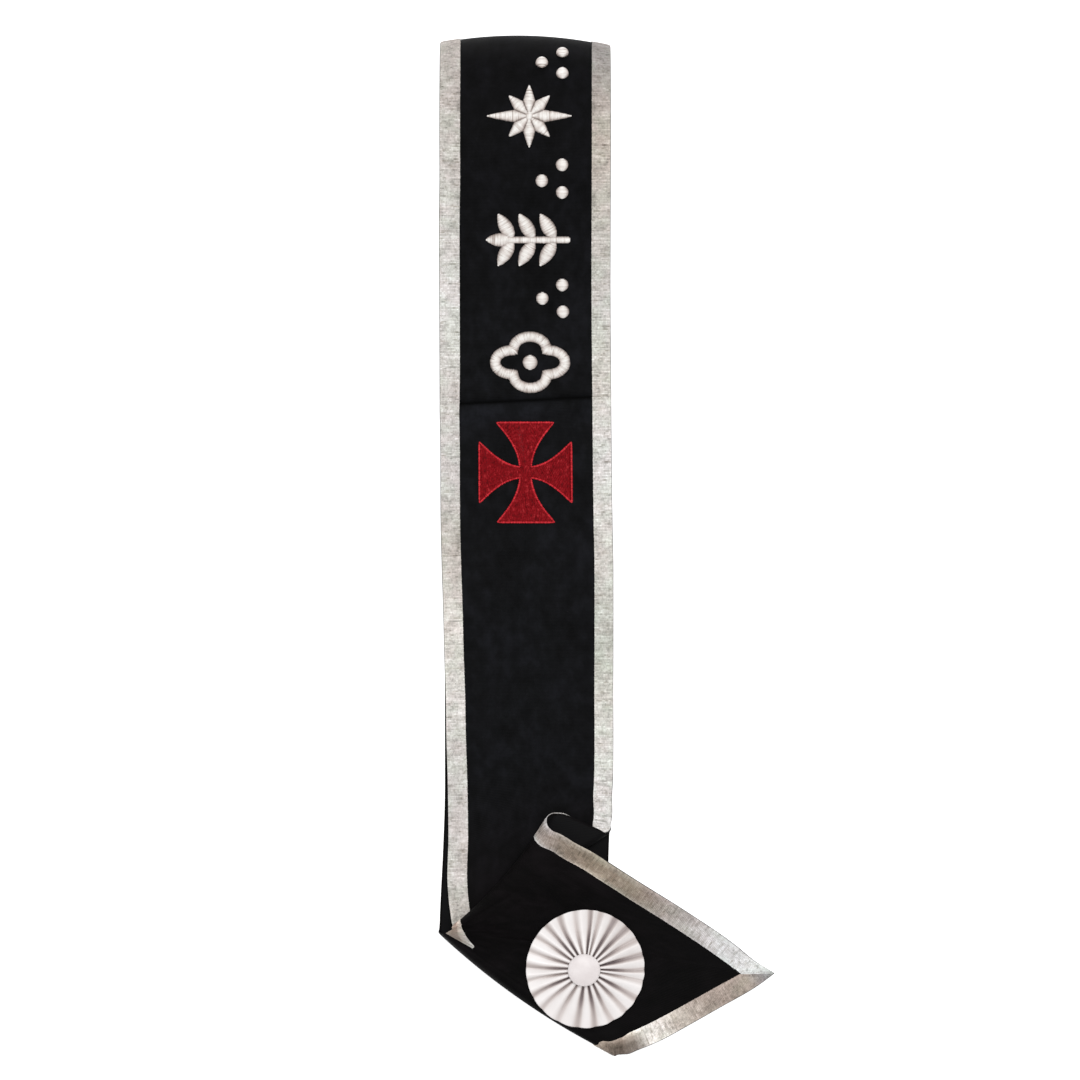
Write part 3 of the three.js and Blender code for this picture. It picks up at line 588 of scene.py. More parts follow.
# How wide the braids lie: rows of cross-lines counted from the flap's first, which the
# other tables of this section count in too, and shares of the full width
OUTER_WIDTHS = (
    (-36, -7, -5, -4, -2, -0.3, 0, 0.6, 1.5, 6.1, 6.4, 6.8, 9.5, 12, 13, 13.5, 14, 14.5, 15,
     15.3, 15.6, 16, 17),
    (0.935, 0.94, 0.90, 0.90, 0.95, 0.94, 0.95, 0.98, 1.0, 1.0, 0.975, 0.965, 1.0, 1.02, 0.98,
     0.94, 0.90, 0.84, 0.79, 0.78, 0.85, 0.92, 1.0),
)
INNER_WIDTHS = ((-36, -20, -17, -15, -11, -9, -7), (1.02, 1.01, 0.98, 0.965, 0.965, 0.99, 1.0))
# How far the outer braid is drawn past the cloth's edge on the back of the soft roll
PAST_EDGE = ((-1.6, -1.15, -0.5, 0.2), (0.0, 0.0085, 0.0085, 0.0))
# The inner braid's rim in plan where it turns the flap's inner corner, and its rows. The
# first of them lie in the fold, and the braid starts there only near its rim
CORNER_RIM = (
    (-90.6, -229.0), (-91.1, -231.8), (-91.3, -233.8), (-91.2, -235.8), (-90.6, -237.8),
    (-89.4, -240.1), (-87.8, -242.9), (-85.5, -246.0), (-83.4, -248.3), (-83.2, -249.1),
    (-84.0, -249.8), (-86.0, -251.5),
)
CORNER_ROWS = (-0.5, 12.6)
CORNER_COUNT = 90
IN_FOLD = ((-0.5, -0.1), (0.3, 0.0))
NEAR_SHARE, FAR_SHARE = 0.01, 0.2
INSET_SHARE = BRAID_INSET / RIBBON_WIDTH
outer_start = 1 - INSET_SHARE
tip_row = fine_of_line[line_of_row[FLAP_START + TIP_ROW]]
leg_end = fine_of_line[line_of_row[LEG_START + len(UPPER_LEG) - 1]]
lower_first = fine_of_line[line_of_row[FLAP_START + len(FLAP)]]
share_of_row = run_at_row[fine_of_line[line_of_row]] / RIBBON_RUN


def thread_tree():
    """Lays a flattened round thread along every line of a mesh. The lines carry the
    direction in which they face, and each thread gets a random tone and thickness."""
    tree = bpy.data.node_groups.new("laid_threads", "GeometryNodeTree")
    tree.interface.new_socket("Lines", in_out="INPUT", socket_type="NodeSocketGeometry")
    for name in ("Thread width", "Thread height", "Taper", "Unevenness"):
        tree.interface.new_socket(name, in_out="INPUT", socket_type="NodeSocketFloat")
    for name in ("Sides", "Seed"):
        tree.interface.new_socket(name, in_out="INPUT", socket_type="NodeSocketInt")
    tree.interface.new_socket("Finish", in_out="INPUT", socket_type="NodeSocketMaterial")
    tree.interface.new_socket("Threads", in_out="OUTPUT", socket_type="NodeSocketGeometry")
    given = tree.nodes.new("NodeGroupInput").outputs
    curves = add_node(tree, "GeometryNodeMeshToCurve", {"Mesh": given["Lines"]})
    facing_up = add_node(
        tree, "GeometryNodeInputNamedAttribute", {"Name": "up"}, data_type="FLOAT_VECTOR"
    )
    upright = add_node(
        tree, "GeometryNodeSetCurveNormal",
        {"Curve": curves.outputs[0], "Normal": facing_up.outputs[0]}, mode="FREE",
    )
    index = tree.nodes.new("GeometryNodeInputIndex").outputs[0]
    tone = add_node(
        tree, "FunctionNodeRandomValue", {"ID": index, "Seed": given["Seed"]},
        data_type="FLOAT",
    )
    toned = add_node(
        tree, "GeometryNodeStoreNamedAttribute",
        {"Geometry": upright.outputs[0], "Name": "tone", "Value": tone.outputs["Value"]},
        data_type="FLOAT", domain="CURVE",
    )
    along = tree.nodes.new("GeometryNodeSplineParameter").outputs["Factor"]
    from_end = sum_up(tree, "MINIMUM", along, sum_up(tree, "SUBTRACT", 1.0, along))
    rounding = add_node(
        tree, "ShaderNodeMapRange",
        {"Value": from_end, "From Min": 0.0, "From Max": 0.14, "To Min": given["Taper"],
         "To Max": 1.0},
    ).outputs["Result"]
    stored_tone = add_node(
        tree, "GeometryNodeInputNamedAttribute", {"Name": "tone"}, data_type="FLOAT"
    ).outputs[0]
    uneven = sum_up(tree, "MULTIPLY_ADD", sum_up(tree, "SUBTRACT", stored_tone, 0.5),
                    given["Unevenness"], 1.0)
    outline = add_node(
        tree, "GeometryNodeCurvePrimitiveCircle",
        {"Resolution": given["Sides"], "Radius": 0.5},
    )
    flattened = add_node(
        tree, "ShaderNodeCombineXYZ", [given["Thread height"], given["Thread width"], 1.0]
    )
    section = add_node(
        tree, "GeometryNodeTransform",
        {"Geometry": outline.outputs["Curve"], "Scale": flattened.outputs[0]},
    )
    laid = add_node(
        tree, "GeometryNodeCurveToMesh",
        {"Curve": toned.outputs[0], "Profile Curve": section.outputs[0],
         "Scale": sum_up(tree, "MULTIPLY", rounding, uneven), "Fill Caps": True},
    )
    smooth = add_node(
        tree, "GeometryNodeSetShadeSmooth", {"Geometry": laid.outputs[0], "Shade Smooth": True}
    )
    real = add_node(tree, "GeometryNodeRealizeInstances", {"Geometry": smooth.outputs[0]})
    finished = add_node(
        tree, "GeometryNodeSetMaterial",
        {"Geometry": real.outputs[0], "Material": given["Finish"]},
    )
    result = tree.nodes.new("NodeGroupOutput")
    tree.links.new(finished.outputs[0], result.inputs[0])
    return tree


LAID_THREADS = thread_tree()


def store(mesh, name, kind, values):
    """Keeps a vector or a value at each point of a mesh under a name, for its finish."""
    mesh.attributes.new(name, {"vector": "FLOAT_VECTOR", "value": "FLOAT"}[kind], "POINT")
    mesh.attributes[name].data.foreach_set(kind, np.asarray(values, float).ravel())


def carried(tree, name, output="Fac"):
    """What store or the threads' tree kept under a name, read in a finish."""
    return add_node(tree, "ShaderNodeAttribute", attribute_name=name).outputs[output]


def lay_threads(name, points, ups, material, width, height, taper=0.5, uneven=0.2, sides=6,
                seed=1, places=None):
    """Threads along rows of points in millimetres. places are cloth coordinates of the
    points, kept as an attribute for the finish to follow."""
    count, stations = points.shape[:2]
    start = np.arange(count)[:, None] * stations + np.arange(stations - 1)[None, :]
    edges = np.stack([start.ravel(), start.ravel() + 1], axis=1)
    mesh = bpy.data.meshes.new(name)
    mesh.from_pydata((points.reshape(-1, 3) * MM).tolist(), edges.tolist(), [])
    store(mesh, "up", "vector", ups)
    store(mesh, "place", "vector", points * (1, 1, 0) if places is None else places)
    piece = bpy.data.objects.new(name, mesh)
    scene.collection.objects.link(piece)
    modifier = piece.modifiers.new("threads", "NODES")
    modifier.node_group = LAID_THREADS
    wanted = {
        "Thread width": width * MM, "Thread height": height * MM, "Taper": taper,
        "Unevenness": uneven, "Sides": sides, "Seed": seed, "Finish": material,
    }
    for socket in LAID_THREADS.interface.items_tree:
        if socket.in_out == "INPUT" and socket.name in wanted:
            modifier[socket.identifier] = wanted[socket.name]
    evaluated = piece.evaluated_get(bpy.context.evaluated_depsgraph_get())
    made = bpy.data.meshes.new_from_object(evaluated)
    piece.modifiers.remove(modifier)
    piece.data = made
    if "up" in made.attributes:
        made.attributes.remove(made.attributes["up"])
    return piece


def walk_in(row, t, width):
    """Lines walked in over the cloth, square to its edge at row and t. The rows count on
    from the hip point once round the loop. Each step is corrected three times, so that it
    ends on the cloth at its right length."""
    path = [(row, t)]
    inward = 1 if t[0] < 0.5 else -1
    steady = np.clip(row, tip_row + STEADY_ROWS, tip_row + ROWS - STEADY_ROWS)
    edge_way = middle(steady + 2, t) - middle(steady - 2, t)
    for _ in range(WALK_STEPS):
        row, t = path[-1]
        up = facing(row, t)
        edge_way = unit(edge_way - up * (edge_way * up).sum(-1, keepdims=True))
        way = np.cross(up, edge_way)
        across = middle(row, t + 0.01) - middle(row, t - 0.01)
        way = way * (inward * np.sign((way * across).sum(-1)))[:, None]
        goal = middle(row, t) + way * width / WALK_STEPS
        for _ in range(3):
            by_row = (middle(row + 0.1, t) - middle(row - 0.1, t)) / 0.2
            by_t = (middle(row, t + 0.01) - middle(row, t - 0.01)) / 0.02
            gap = goal - middle(row, t)
            a, b, c = (by_row**2).sum(-1), (by_row * by_t).sum(-1), (by_t**2).sum(-1)
            d, e = (by_row * gap).sum(-1), (by_t * gap).sum(-1)
            flat = a * c - b * b
            row, t = row + (d * c - e * b) / flat, t + (a * e - b * d) / flat
        path.append((row, t))
    return np.stack([p[0] for p in path], axis=1), np.stack([p[1] for p in path], axis=1)


def past_seam(points):
    """How far points lie, in plan, over the mitre's seam: the line that halves the corner
    of the hip point."""
    tip = middle(tip_row, 1.0)
    before, after = (
        unit((middle(tip_row + k, 1.0) - tip)[:2]) for k in (-SEAM_ROWS, SEAM_ROWS)
    )
    seam = unit(before + after)
    off = points[..., :2] - tip[:2]
    return seam[0] * off[..., 1] - seam[1] * off[..., 0]


def mitred(rows_here, shares, shortest):
    """The lines cut off where they cross the mitre's seam, without those that are then
    shorter than a share of their length."""
    own_side = np.where(rows_here[:, :1] < tip_row, -1.0, 1.0)
    side = past_seam(middle(rows_here, shares)) * own_side
    near = abs(rows_here[:, 0] - tip_row) < MITRE_ROWS
    kept = np.full(len(rows_here), float(WALK_STEPS))
    for k in range(WALK_STEPS, 0, -1):
        part = side[:, k - 1] / (side[:, k - 1] - side[:, k] + 1e-9)
        crossing = k - 1 + np.clip(part, 0, 1)
        kept = np.where(near & (side[:, k] <= 0), crossing, kept)
    kept[near & (side[:, 0] <= 0)] = 0
    at = kept[:, None] * np.linspace(0, 1, RIB_STATIONS)[None, :]
    low = np.minimum(at.astype(int), WALK_STEPS - 1)
    part = at - low
    line = np.arange(len(at))[:, None]
    cut = [v[line, low] * (1 - part) + v[line, low + 1] * part for v in (rows_here, shares)]
    long_enough = kept >= shortest * WALK_STEPS
    return cut[0][long_enough], cut[1][long_enough]


def evenly_along(first, last, t, pitch, seed):
    """Fine rows at a slightly uneven pitch along the cloth at one share across."""
    fine = np.arange(first, last + 0.01, 0.5)
    apart = np.linalg.norm(np.diff(middle(fine, t), axis=0), axis=-1)
    distance = np.concatenate([[0], np.cumsum(apart)])
    count = int(distance[-1] / pitch)
    jitter = np.random.default_rng(seed).uniform(-0.12, 0.12, count)
    return np.interp((np.arange(count) + 0.5 + jitter) * distance[-1] / count, distance, fine)


def braid_places(rows_here, across, shares):
    """Where points of a braid are across and along it, for its finish. The third value
    is 1 on the outer braid and 0 on the inner one."""
    along = np.interp(rows_here[:, :1] % ROWS, np.arange(ROWS + 1), run_at_row)
    outer = (shares[:, :1] > 0.5).astype(float)
    return np.stack(np.broadcast_arrays(across, along, outer), axis=-1)


silver_braid, tree, shader = new_finish("silver_braid", Metallic=0.2, Specular_IOR_Level=0.4)
place = carried(tree, "place", "Vector")
apart = add_node(tree, "ShaderNodeSeparateXYZ", [place]).outputs
run_share = sum_up(tree, "MULTIPLY", apart[1], 1 / RIBBON_RUN)
# The metal is crinkled across the braid and blotched, and tarnished in hairlines
crinkle = speckle(tree, stretched(tree, place, (0.24, 1.15, 1.0)), 0.95, 4.0, 0.75, 0.6)
blotches = speckle(tree, place, 0.13, 3.0, 0.55, 0.6)
level = sum_up(tree, "MULTIPLY_ADD", carried(tree, "tone"), 0.06,
               sum_up(tree, "MULTIPLY_ADD", blotches, 0.42, sum_up(tree, "MULTIPLY", crinkle, 0.6)))
metal = tints(tree, level, [
    (0.38, (0.34, 0.328, 0.314)), (0.5, (0.60, 0.581, 0.564)), (0.6, (0.74, 0.722, 0.711)),
    (0.72, (0.93, 0.924, 0.93)),
])
hairlines = tints(tree, speckle(tree, stretched(tree, place, (0.16, 1.9, 1.0)), 1.0, 2.0, 0.6), [
    (0.30, (0.66, 0.64, 0.60)), (0.38, (0.9, 0.89, 0.87)), (0.46, (1.0, 1.0, 1.0)),
    (0.62, (1.0, 1.0, 1.0)), (0.72, (1.1, 1.1, 1.1)),
])
# Fine cracks in the tarnish, along the edges of wandering cells
noise_colour = add_node(tree, "ShaderNodeTexNoise", {"Vector": place, "Scale": 0.5}).outputs[1]
wandering = add_node(
    tree, "ShaderNodeVectorMath", [place, noise_colour], operation="ADD"
).outputs[0]
cell_edge = add_node(
    tree, "ShaderNodeTexVoronoi",
    {"Vector": stretched(tree, wandering, (0.42, 0.34, 1.0)), "Scale": 1.0, "Randomness": 1.0},
    feature="DISTANCE_TO_EDGE",
).outputs["Distance"]
cracks = tints(tree, cell_edge, [
    (0.0, (0.80, 0.79, 0.78)), (0.07, (0.97, 0.97, 0.97)), (0.3, (1.03, 1.03, 1.03)),
])
warmth = speckle(tree, stretched(tree, place, (1.0, 1.0, 1.0), (40.0, 9.0, 0.0)), 0.07)
cast = tints(tree, warmth, [
    (0.38, (0.975, 0.995, 0.95)), (0.5, (1.0, 0.99, 0.97)), (0.62, (1.01, 0.97, 0.96))
])


def tinted_along(stops):
    """A colour that changes along the braids, through stops of row and colour."""
    return tints(tree, run_share, [
        (np.interp(FLAP_START + row, np.arange(len(rows)), share_of_row), tint)
        for row, tint in stops
    ])


# How the braids are toned along them, partly in their own colour and partly in painted light
# and shade. The outer one is painted darker at the shoulder, warm and painted darker from the
# roll on, bright towards the hip point, grey and then warm past it, painted bright again before
# the lower fold and a shaded brown at the fold. The inner one is pinkish where it turns the inner
# corner
outer_tone_and_painted_light = tinted_along((
    (-32.6, (0.55, 0.53, 0.53)), (-27.6, (0.93, 0.875, 0.81)), (-22.2, (1.03, 1.05, 1.04)),
    (-19.5, (1.14, 1.14, 1.1)), (-14.6, (1.25, 1.28, 1.3)), (-13.7, (1.15, 1.15, 1.13)),
    (-11.7, (0.95, 1.0, 0.95)), (-10, (1.12, 1.15, 1.1)), (-8, (1.22, 1.24, 1.24)),
    (-2, (1.3, 1.32, 1.34)), (-1.1, (1.05, 1.06, 1.08)), (-0.9, (0.70, 0.69, 0.69)),
    (-0.5, (0.74, 0.71, 0.70)), (-0.32, (0.98, 0.92, 0.91)), (-0.15, (0.63, 0.56, 0.53)),
    (0.05, (0.47, 0.40, 0.35)), (1.5, (0.455, 0.385, 0.305)), (3, (0.60, 0.53, 0.43)),
    (4.2, (0.53, 0.445, 0.39)), (5.1, (0.82, 0.79, 0.79)), (6.2, (1.15, 1.22, 1.27)),
    (7.9, (1.65, 1.75, 1.8)), (8, (0.70, 0.68, 0.73)), (9, (0.66, 0.63, 0.66)),
    (9.1, (0.80, 0.70, 0.635)), (10.3, (0.73, 0.64, 0.58)), (11.2, (1.14, 1.07, 1.0)),
    (12.2, (1.7, 1.7, 1.72)), (12.7, (1.45, 1.4, 1.34)), (13.2, (0.52, 0.44, 0.38)),
    (13.7, (0.42, 0.355, 0.30)), (15.3, (0.50, 0.42, 0.36)),
))
inner_tone_and_painted_light = tinted_along((
    (-32.5, (0.80, 0.77, 0.75)), (-27.5, (1.0, 0.99, 0.965)), (-22.2, (1.18, 1.2, 1.21)),
    (-19.3, (1.11, 1.11, 1.1)), (-14.5, (1.13, 1.14, 1.15)), (-13.7, (0.93, 0.91, 0.87)),
    (-11.7, (1.22, 1.21, 1.18)), (-9.9, (1.22, 1.23, 1.22)), (-8, (1.04, 1.04, 1.04)),
    (-6, (1.08, 1.07, 1.06)), (-4, (1.05, 1.02, 0.98)), (-0.5, (1.08, 0.93, 0.83)),
    (9, (1.0, 0.92, 0.85)), (13, (0.9, 0.87, 0.83)),
))
# Painted light: on the soft roll the braid's two edges are painted paler than its middle. Where
# the inner braid turns the corner it is painted in shade up to a soft fold, and painted light past
# it.
# Near the lower fold the brown reaches further along the outer edge, as painted shade, and the
# inner edge is painted light
across_share = sum_up(tree, "MULTIPLY", apart[0], 1 / BRAID_WIDTH)
roll_edge_highlight = tints(tree, across_share, [
    (0.0, (1.5, 1.6, 1.7)), (0.12, (1.15, 1.2, 1.25)), (0.3, (0.93, 0.92, 0.9)),
    (0.75, (0.93, 0.92, 0.9)), (0.9, (1.2, 1.25, 1.3)), (1.0, (1.6, 1.75, 1.9)),
])
on_roll = tinted_along((
    (-0.9, (0, 0, 0)), (-0.4, (1, 1, 1)), (3.8, (1, 1, 1)), (5, (0, 0, 0)),
))
# Painted shade and light where the inner braid turns the corner
fanned = tints(tree, across_share, [
    (0.0, (0.95, 0.90, 0.88)), (0.2, (0.72, 0.64, 0.60)), (0.5, (0.78, 0.71, 0.68)),
    (0.62, (1.22, 1.21, 1.2)), (1.0, (1.36, 1.46, 1.54)),
])
on_fan = tinted_along((
    (-1, (0, 0, 0)), (-0.6, (1, 1, 1)), (13, (1, 1, 1)), (14, (0, 0, 0)),
))
# Painted shade on the outer edge and a painted highlight on the inner edge, near the lower fold
slope_shade_and_highlight = tints(tree, across_share, [
    (0.0, (0.56, 0.54, 0.54)), (0.4, (0.50, 0.48, 0.46)), (0.78, (0.95, 0.93, 0.91)),
    (1.0, (1.8, 1.84, 1.86)),
])
near_fold = tinted_along((
    (12.4, (0, 0, 0)), (12.75, (1, 1, 1)), (14.5, (1, 1, 1)), (15.5, (0.7, 0.7, 0.7)),
    (17, (0, 0, 0)),
))
no_tint = (1.0, 1.0, 1.0, 1.0)
outer_tone_and_painted_light = tinted(tree, outer_tone_and_painted_light, blended(tree, on_roll, no_tint, roll_edge_highlight),
                    blended(tree, near_fold, no_tint, slope_shade_and_highlight))
inner_tone_and_painted_light = tinted(tree, inner_tone_and_painted_light, blended(tree, on_fan, no_tint, fanned))
# The braids' own tone together with painted light and shade
tone_and_painted_light = blended(tree, apart[2], inner_tone_and_painted_light, outer_tone_and_painted_light)
coat(tree, shader, tinted(tree, metal, cracks, hairlines, cast, tone_and_painted_light),
     sum_up(tree, "MULTIPLY_ADD", crinkle, -0.4, 0.72))
twist = bands(tree, place, 0.75, 0.6, 1.0)
raise_grain(tree, shader, sum_up(tree, "MULTIPLY_ADD", crinkle, 2.2, twist), 0.00016)


def braid_ribs(name, rows_here, shares, seed):
    """The braid's ribs of wound thread, along lines of places on the cloth."""
    points = on_cloth(rows_here, shares, RIB_CORE)
    across = np.linspace(0, BRAID_WIDTH, RIB_STATIONS)[None, :]
    return lay_threads(name, points, facing(rows_here, shares), silver_braid, RIB_WIDTH,
                       RIB_HEIGHT, seed=seed, places=braid_places(rows_here, across, shares))


def braid_strip(name, rows_here, shares, closed):
    """The woven strip under the ribs, over a grid of places on the cloth."""
    top = on_cloth(rows_here, shares, BRAID_TOP)
    under = on_cloth(rows_here[:, ::-1], shares[:, ::-1], BRAID_LOW)
    sections = np.concatenate([top, under], axis=1)
    across = np.linspace(0, BRAID_WIDTH, top.shape[1])
    sides = np.concatenate([across, across[::-1]])
    count, size = sections.shape[:2]
    faces = skin(sections, sides, closed=closed)[0]
    if not closed:
        faces += [list(range(size)), [(count - 1) * size + k for k in reversed(range(size))]]
    strip = make_piece(name, sections, faces, silver_braid)
    both = np.concatenate([rows_here, rows_here[:, ::-1]], axis=1)
    store(strip.data, "place", "vector", braid_places(both, sides[None, :], shares))
    store(strip.data, "tone", "value", np.full(count * size, STRIP_TONE))
    strip.data.set_sharp_from_angle(angle=SHARP_FROM)
    return strip


def joined(name, *parts):
    """Several pieces of one finish as one piece."""
    with bpy.context.temp_override(
        active_object=parts[0], object=parts[0], selected_objects=parts,
        selected_editable_objects=parts,
    ):
        bpy.ops.object.join()
    parts[0].name = parts[0].data.name = name
    return parts[0]


def flap_fine(flap_rows):
    """Fine rows of some of the flap's rows."""
    return np.interp(FLAP_START + np.array(flap_rows), np.arange(len(rows)),
                     fine_of_line[line_of_row])


def edge_table(edge):
    """Lines square to one edge, from just past the hip point round to just before it. Away
    from it each is evened out with its neighbours, so that none of them cross."""
    at = tip_row + np.arange(0.5, ROWS - 0.4, 0.5)
    rows_here, shares = walk_in(at, np.full(len(at), edge), BRAID_SHOWN)
    rows_here -= at[:, None]
    inside = slice(2 * STEADY_ROWS, -2 * STEADY_ROWS)
    for table in (rows_here, shares):
        for _ in range(6):
            evened = (np.roll(table, 1, axis=0) + 2 * table + np.roll(table, -1, axis=0)) / 4
            table[inside] = evened[inside]
    return at, rows_here, shares


EDGE_TABLES = {edge: edge_table(edge) for edge in (outer_start, INSET_SHARE)}


def from_edge(rows_at, edge, shortest=0.0, lengths=0.0, seed=1):
    """Lines square to one edge of the cloth, mitred at the hip point."""
    at, rows_off, across = EDGE_TABLES[edge]
    round_from_tip = tip_row + (rows_at - tip_row) % ROWS
    rows_off, shares = (
        np.stack([np.interp(round_from_tip, at, column) for column in table.T], axis=1)
        for table in (rows_off, across)
    )
    reach = 1 + np.random.default_rng(seed).uniform(-lengths, lengths, len(rows_at))
    widths = OUTER_WIDTHS if edge > 0.5 else INNER_WIDTHS
    reach *= np.interp(rows_at, flap_fine(widths[0]), widths[1])
    if edge > 0.5:
        shares[:, 0] += np.interp(rows_at, flap_fine(PAST_EDGE[0]), PAST_EDGE[1])
    rows_here = rows_at[:, None] + rows_off * reach[:, None]
    shares = edge + (shares - edge) * reach[:, None]
    return mitred(rows_here, shares, shortest)


def shares_at(curve, rows_here):
    """The shares at which cross-lines near the inner edge meet a curve in plan."""
    start = middle(rows_here, NEAR_SHARE)[:, None, :2]
    line = middle(rows_here, FAR_SHARE)[:, None, :2] - start
    piece = np.diff(curve, axis=0)
    gap = np.array(curve[:-1]) - start
    flat = line[..., 0] * piece[:, 1] - line[..., 1] * piece[:, 0]
    on_line = (gap[..., 0] * piece[:, 1] - gap[..., 1] * piece[:, 0]) / flat
    on_piece = (gap[..., 0] * line[..., 1] - gap[..., 1] * line[..., 0]) / flat
    met = np.where((on_piece >= 0) & (on_piece <= 1), on_line, 1.0).min(axis=1)
    return NEAR_SHARE + (FAR_SHARE - NEAR_SHARE) * met


crisp = np.arange(tip_row - CRISP_ROWS, tip_row + CRISP_ROWS, 0.25)
outer_ribs_at = evenly_along(0, ROWS, outer_start, RIB_PITCH, seed=3)
outer_braid = joined(
    "outer_silver_braid",
    braid_strip("outer_strip", *from_edge(np.union1d(np.arange(ROWS), crisp), outer_start), True),
    braid_ribs("outer_ribs", *from_edge(outer_ribs_at, outer_start, SHORTEST_RIB, RIB_ENDS, seed=4),
               seed=3),
)
# The inner braid starts on the lower leg and runs into the folds under the flap. At the
# flap's inner corner it shows again, turned in a fan
inner_rows = np.arange(lower_first - ROWS, leg_end + 1, dtype=float)
inner_ribs_at = evenly_along(lower_first - ROWS, leg_end, INSET_SHARE, RIB_PITCH, seed=5)
across_strip = np.linspace(0, 1, RIB_STATIONS)[None, :]
corner_rows = np.linspace(*flap_fine(CORNER_ROWS), CORNER_COUNT)
corner_end = shares_at(CORNER_RIM, corner_rows)[:, None]
in_fold = np.interp(corner_rows, flap_fine(IN_FOLD[0]), IN_FOLD[1])[:, None]
corner_start = INSET_SHARE + (corner_end - INSET_SHARE) * in_fold
inner_braid = joined(
    "inner_silver_braid",
    braid_strip("inner_strip", *from_edge(inner_rows, INSET_SHARE), False),
    braid_strip("corner_strip", corner_rows[:, None] + 0 * across_strip,
                corner_start + (corner_end - corner_start) * across_strip, False),
    braid_ribs("inner_ribs", *from_edge(inner_ribs_at, INSET_SHARE, SHORTEST_RIB, RIB_ENDS, seed=6),
               seed=5),
)
hand_over(outer_braid, "silver_braid", "outer_braid")
hand_over(inner_braid, "silver_braid", "inner_braid")


# The padded ornaments
# A four-lobed knot with a boss, a leafy sprig and a star, and three groups of dots, worked
# on the upper leg in satin stitch: pale silky thread wound side by side over a padding.
ORNAMENT_X = -48.7
KNOT_Y, SPRIG_Y, STAR_Y = 114.8, 190.1, 265.2
KNOT = {"lobe_at": 11, "lobe_radius": 9.6, "wide": 1.05, "tall": 0.78, "stroke": 6.4}
SPRIG = {
    "stem_from": 25, "stem_to": -19, "stem_width": 4.2, "pairs_at": (15.5, 2.5, -10.5),
    "leaf_length": 18, "leaf_width": 8.4, "leaf_turn": 120, "end_leaf_at": -11,
    "end_leaf_length": 16,
}
STAR_RAYS = {"across": 26, "along": 19, "between": 17.5}
RAY_BELLY = 3.7               # half of a ray's width where it is widest
STAR_MIDDLE = 2.6
DOT_GROUPS = {
    "low": ((-28.6, 162.6), (-40.9, 154.3), (-28.2, 146.1)),
    "middle": ((-28.4, 235.7), (-40.9, 226.1), (-28.4, 219.1)),
    "high": ((-28.2, 305.2), (-40.9, 298.7), (-28.2, 291.8)),
}
DOT_RADIUS, BOSS_RADIUS, DOT_RISE = 3.8, 4.5, 1.9
SATIN_RISE = 2.2
SATIN_PITCH, SATIN_WIDTH, SATIN_THICK = 0.4, 0.6, 0.3
PAD_UNDER = 0.12              # how far the padding stays inside the threads
ARCH = np.linspace(0, math.pi, 9)
FLATNESS = 0.85               # under 1, a stroke's section is fuller than a half circle
PAD_STEP = 1.5


def on_leg(x, y):
    """Places points of a flat frame round a plan position on the upper leg's face."""
    fine = np.arange(leg_end)
    run = np.interp(-y, -middle(fine, 0.5)[:, 1], run_at_row[fine])
    inner_x = middle(np.interp(run, run_at_row, np.arange(ROWS + 1)), 0.0)[0]

    def place(flat, height):
        row = np.interp(run - flat[..., 1], run_at_row, np.arange(ROWS + 1))
        t = (x - inner_x + flat[..., 0]) / RIBBON_WIDTH
        level = middle(row, 0.5)[..., 1]
        # The rows at the crease lie aslant, but the embroidery doesn't
        for _ in range(3):
            a_row_on = middle(row + 0.5, t)[..., 1] - middle(row - 0.5, t)[..., 1]
            row = row + (level - middle(row, t)[..., 1]) / a_row_on
        return on_cloth(row, t, RIBBON_TOP + height), facing(row, t)

    return place


def arches(place, path, at, rise, closed, lean=0.0, slack=0.0, steady=0.4):
    """Arched lines over a padded stroke at distances along its path, with the way up at
    their points. A path has columns x, y, width and share of the full rise. steady is how
    far ahead and behind its direction is read."""
    steps = np.linalg.norm(np.diff(path[:, :2], axis=0), axis=1)
    distance = np.concatenate([[0], np.cumsum(steps)])
    round_trip = distance[-1] if closed else None
    x, y, width, full = (np.interp(at, distance, column) for column in path.T)
    ahead, behind = (
        np.stack([np.interp(at + step, distance, c, period=round_trip) for c in path.T[:2]])
        for step in (steady, -steady)
    )
    way = (ahead - behind) / np.linalg.norm(ahead - behind, axis=0)
    reach = -(width[:, None] / 2 + slack) * np.cos(ARCH)
    flat = np.stack([
        x[:, None] - way[1][:, None] * reach + way[0][:, None] * lean * reach,
        y[:, None] + way[0][:, None] * reach + way[1][:, None] * lean * reach,
    ], axis=-1)
    height = (rise + slack) * full[:, None] * np.sin(ARCH) ** FLATNESS
    points, up = place(flat, height)
    out = unit(points[:, -1:] - points[:, :1])
    ups = up * (np.sin(ARCH) + 0.25)[:, None] - out * np.cos(ARCH)[:, None]
    return points, unit(ups)


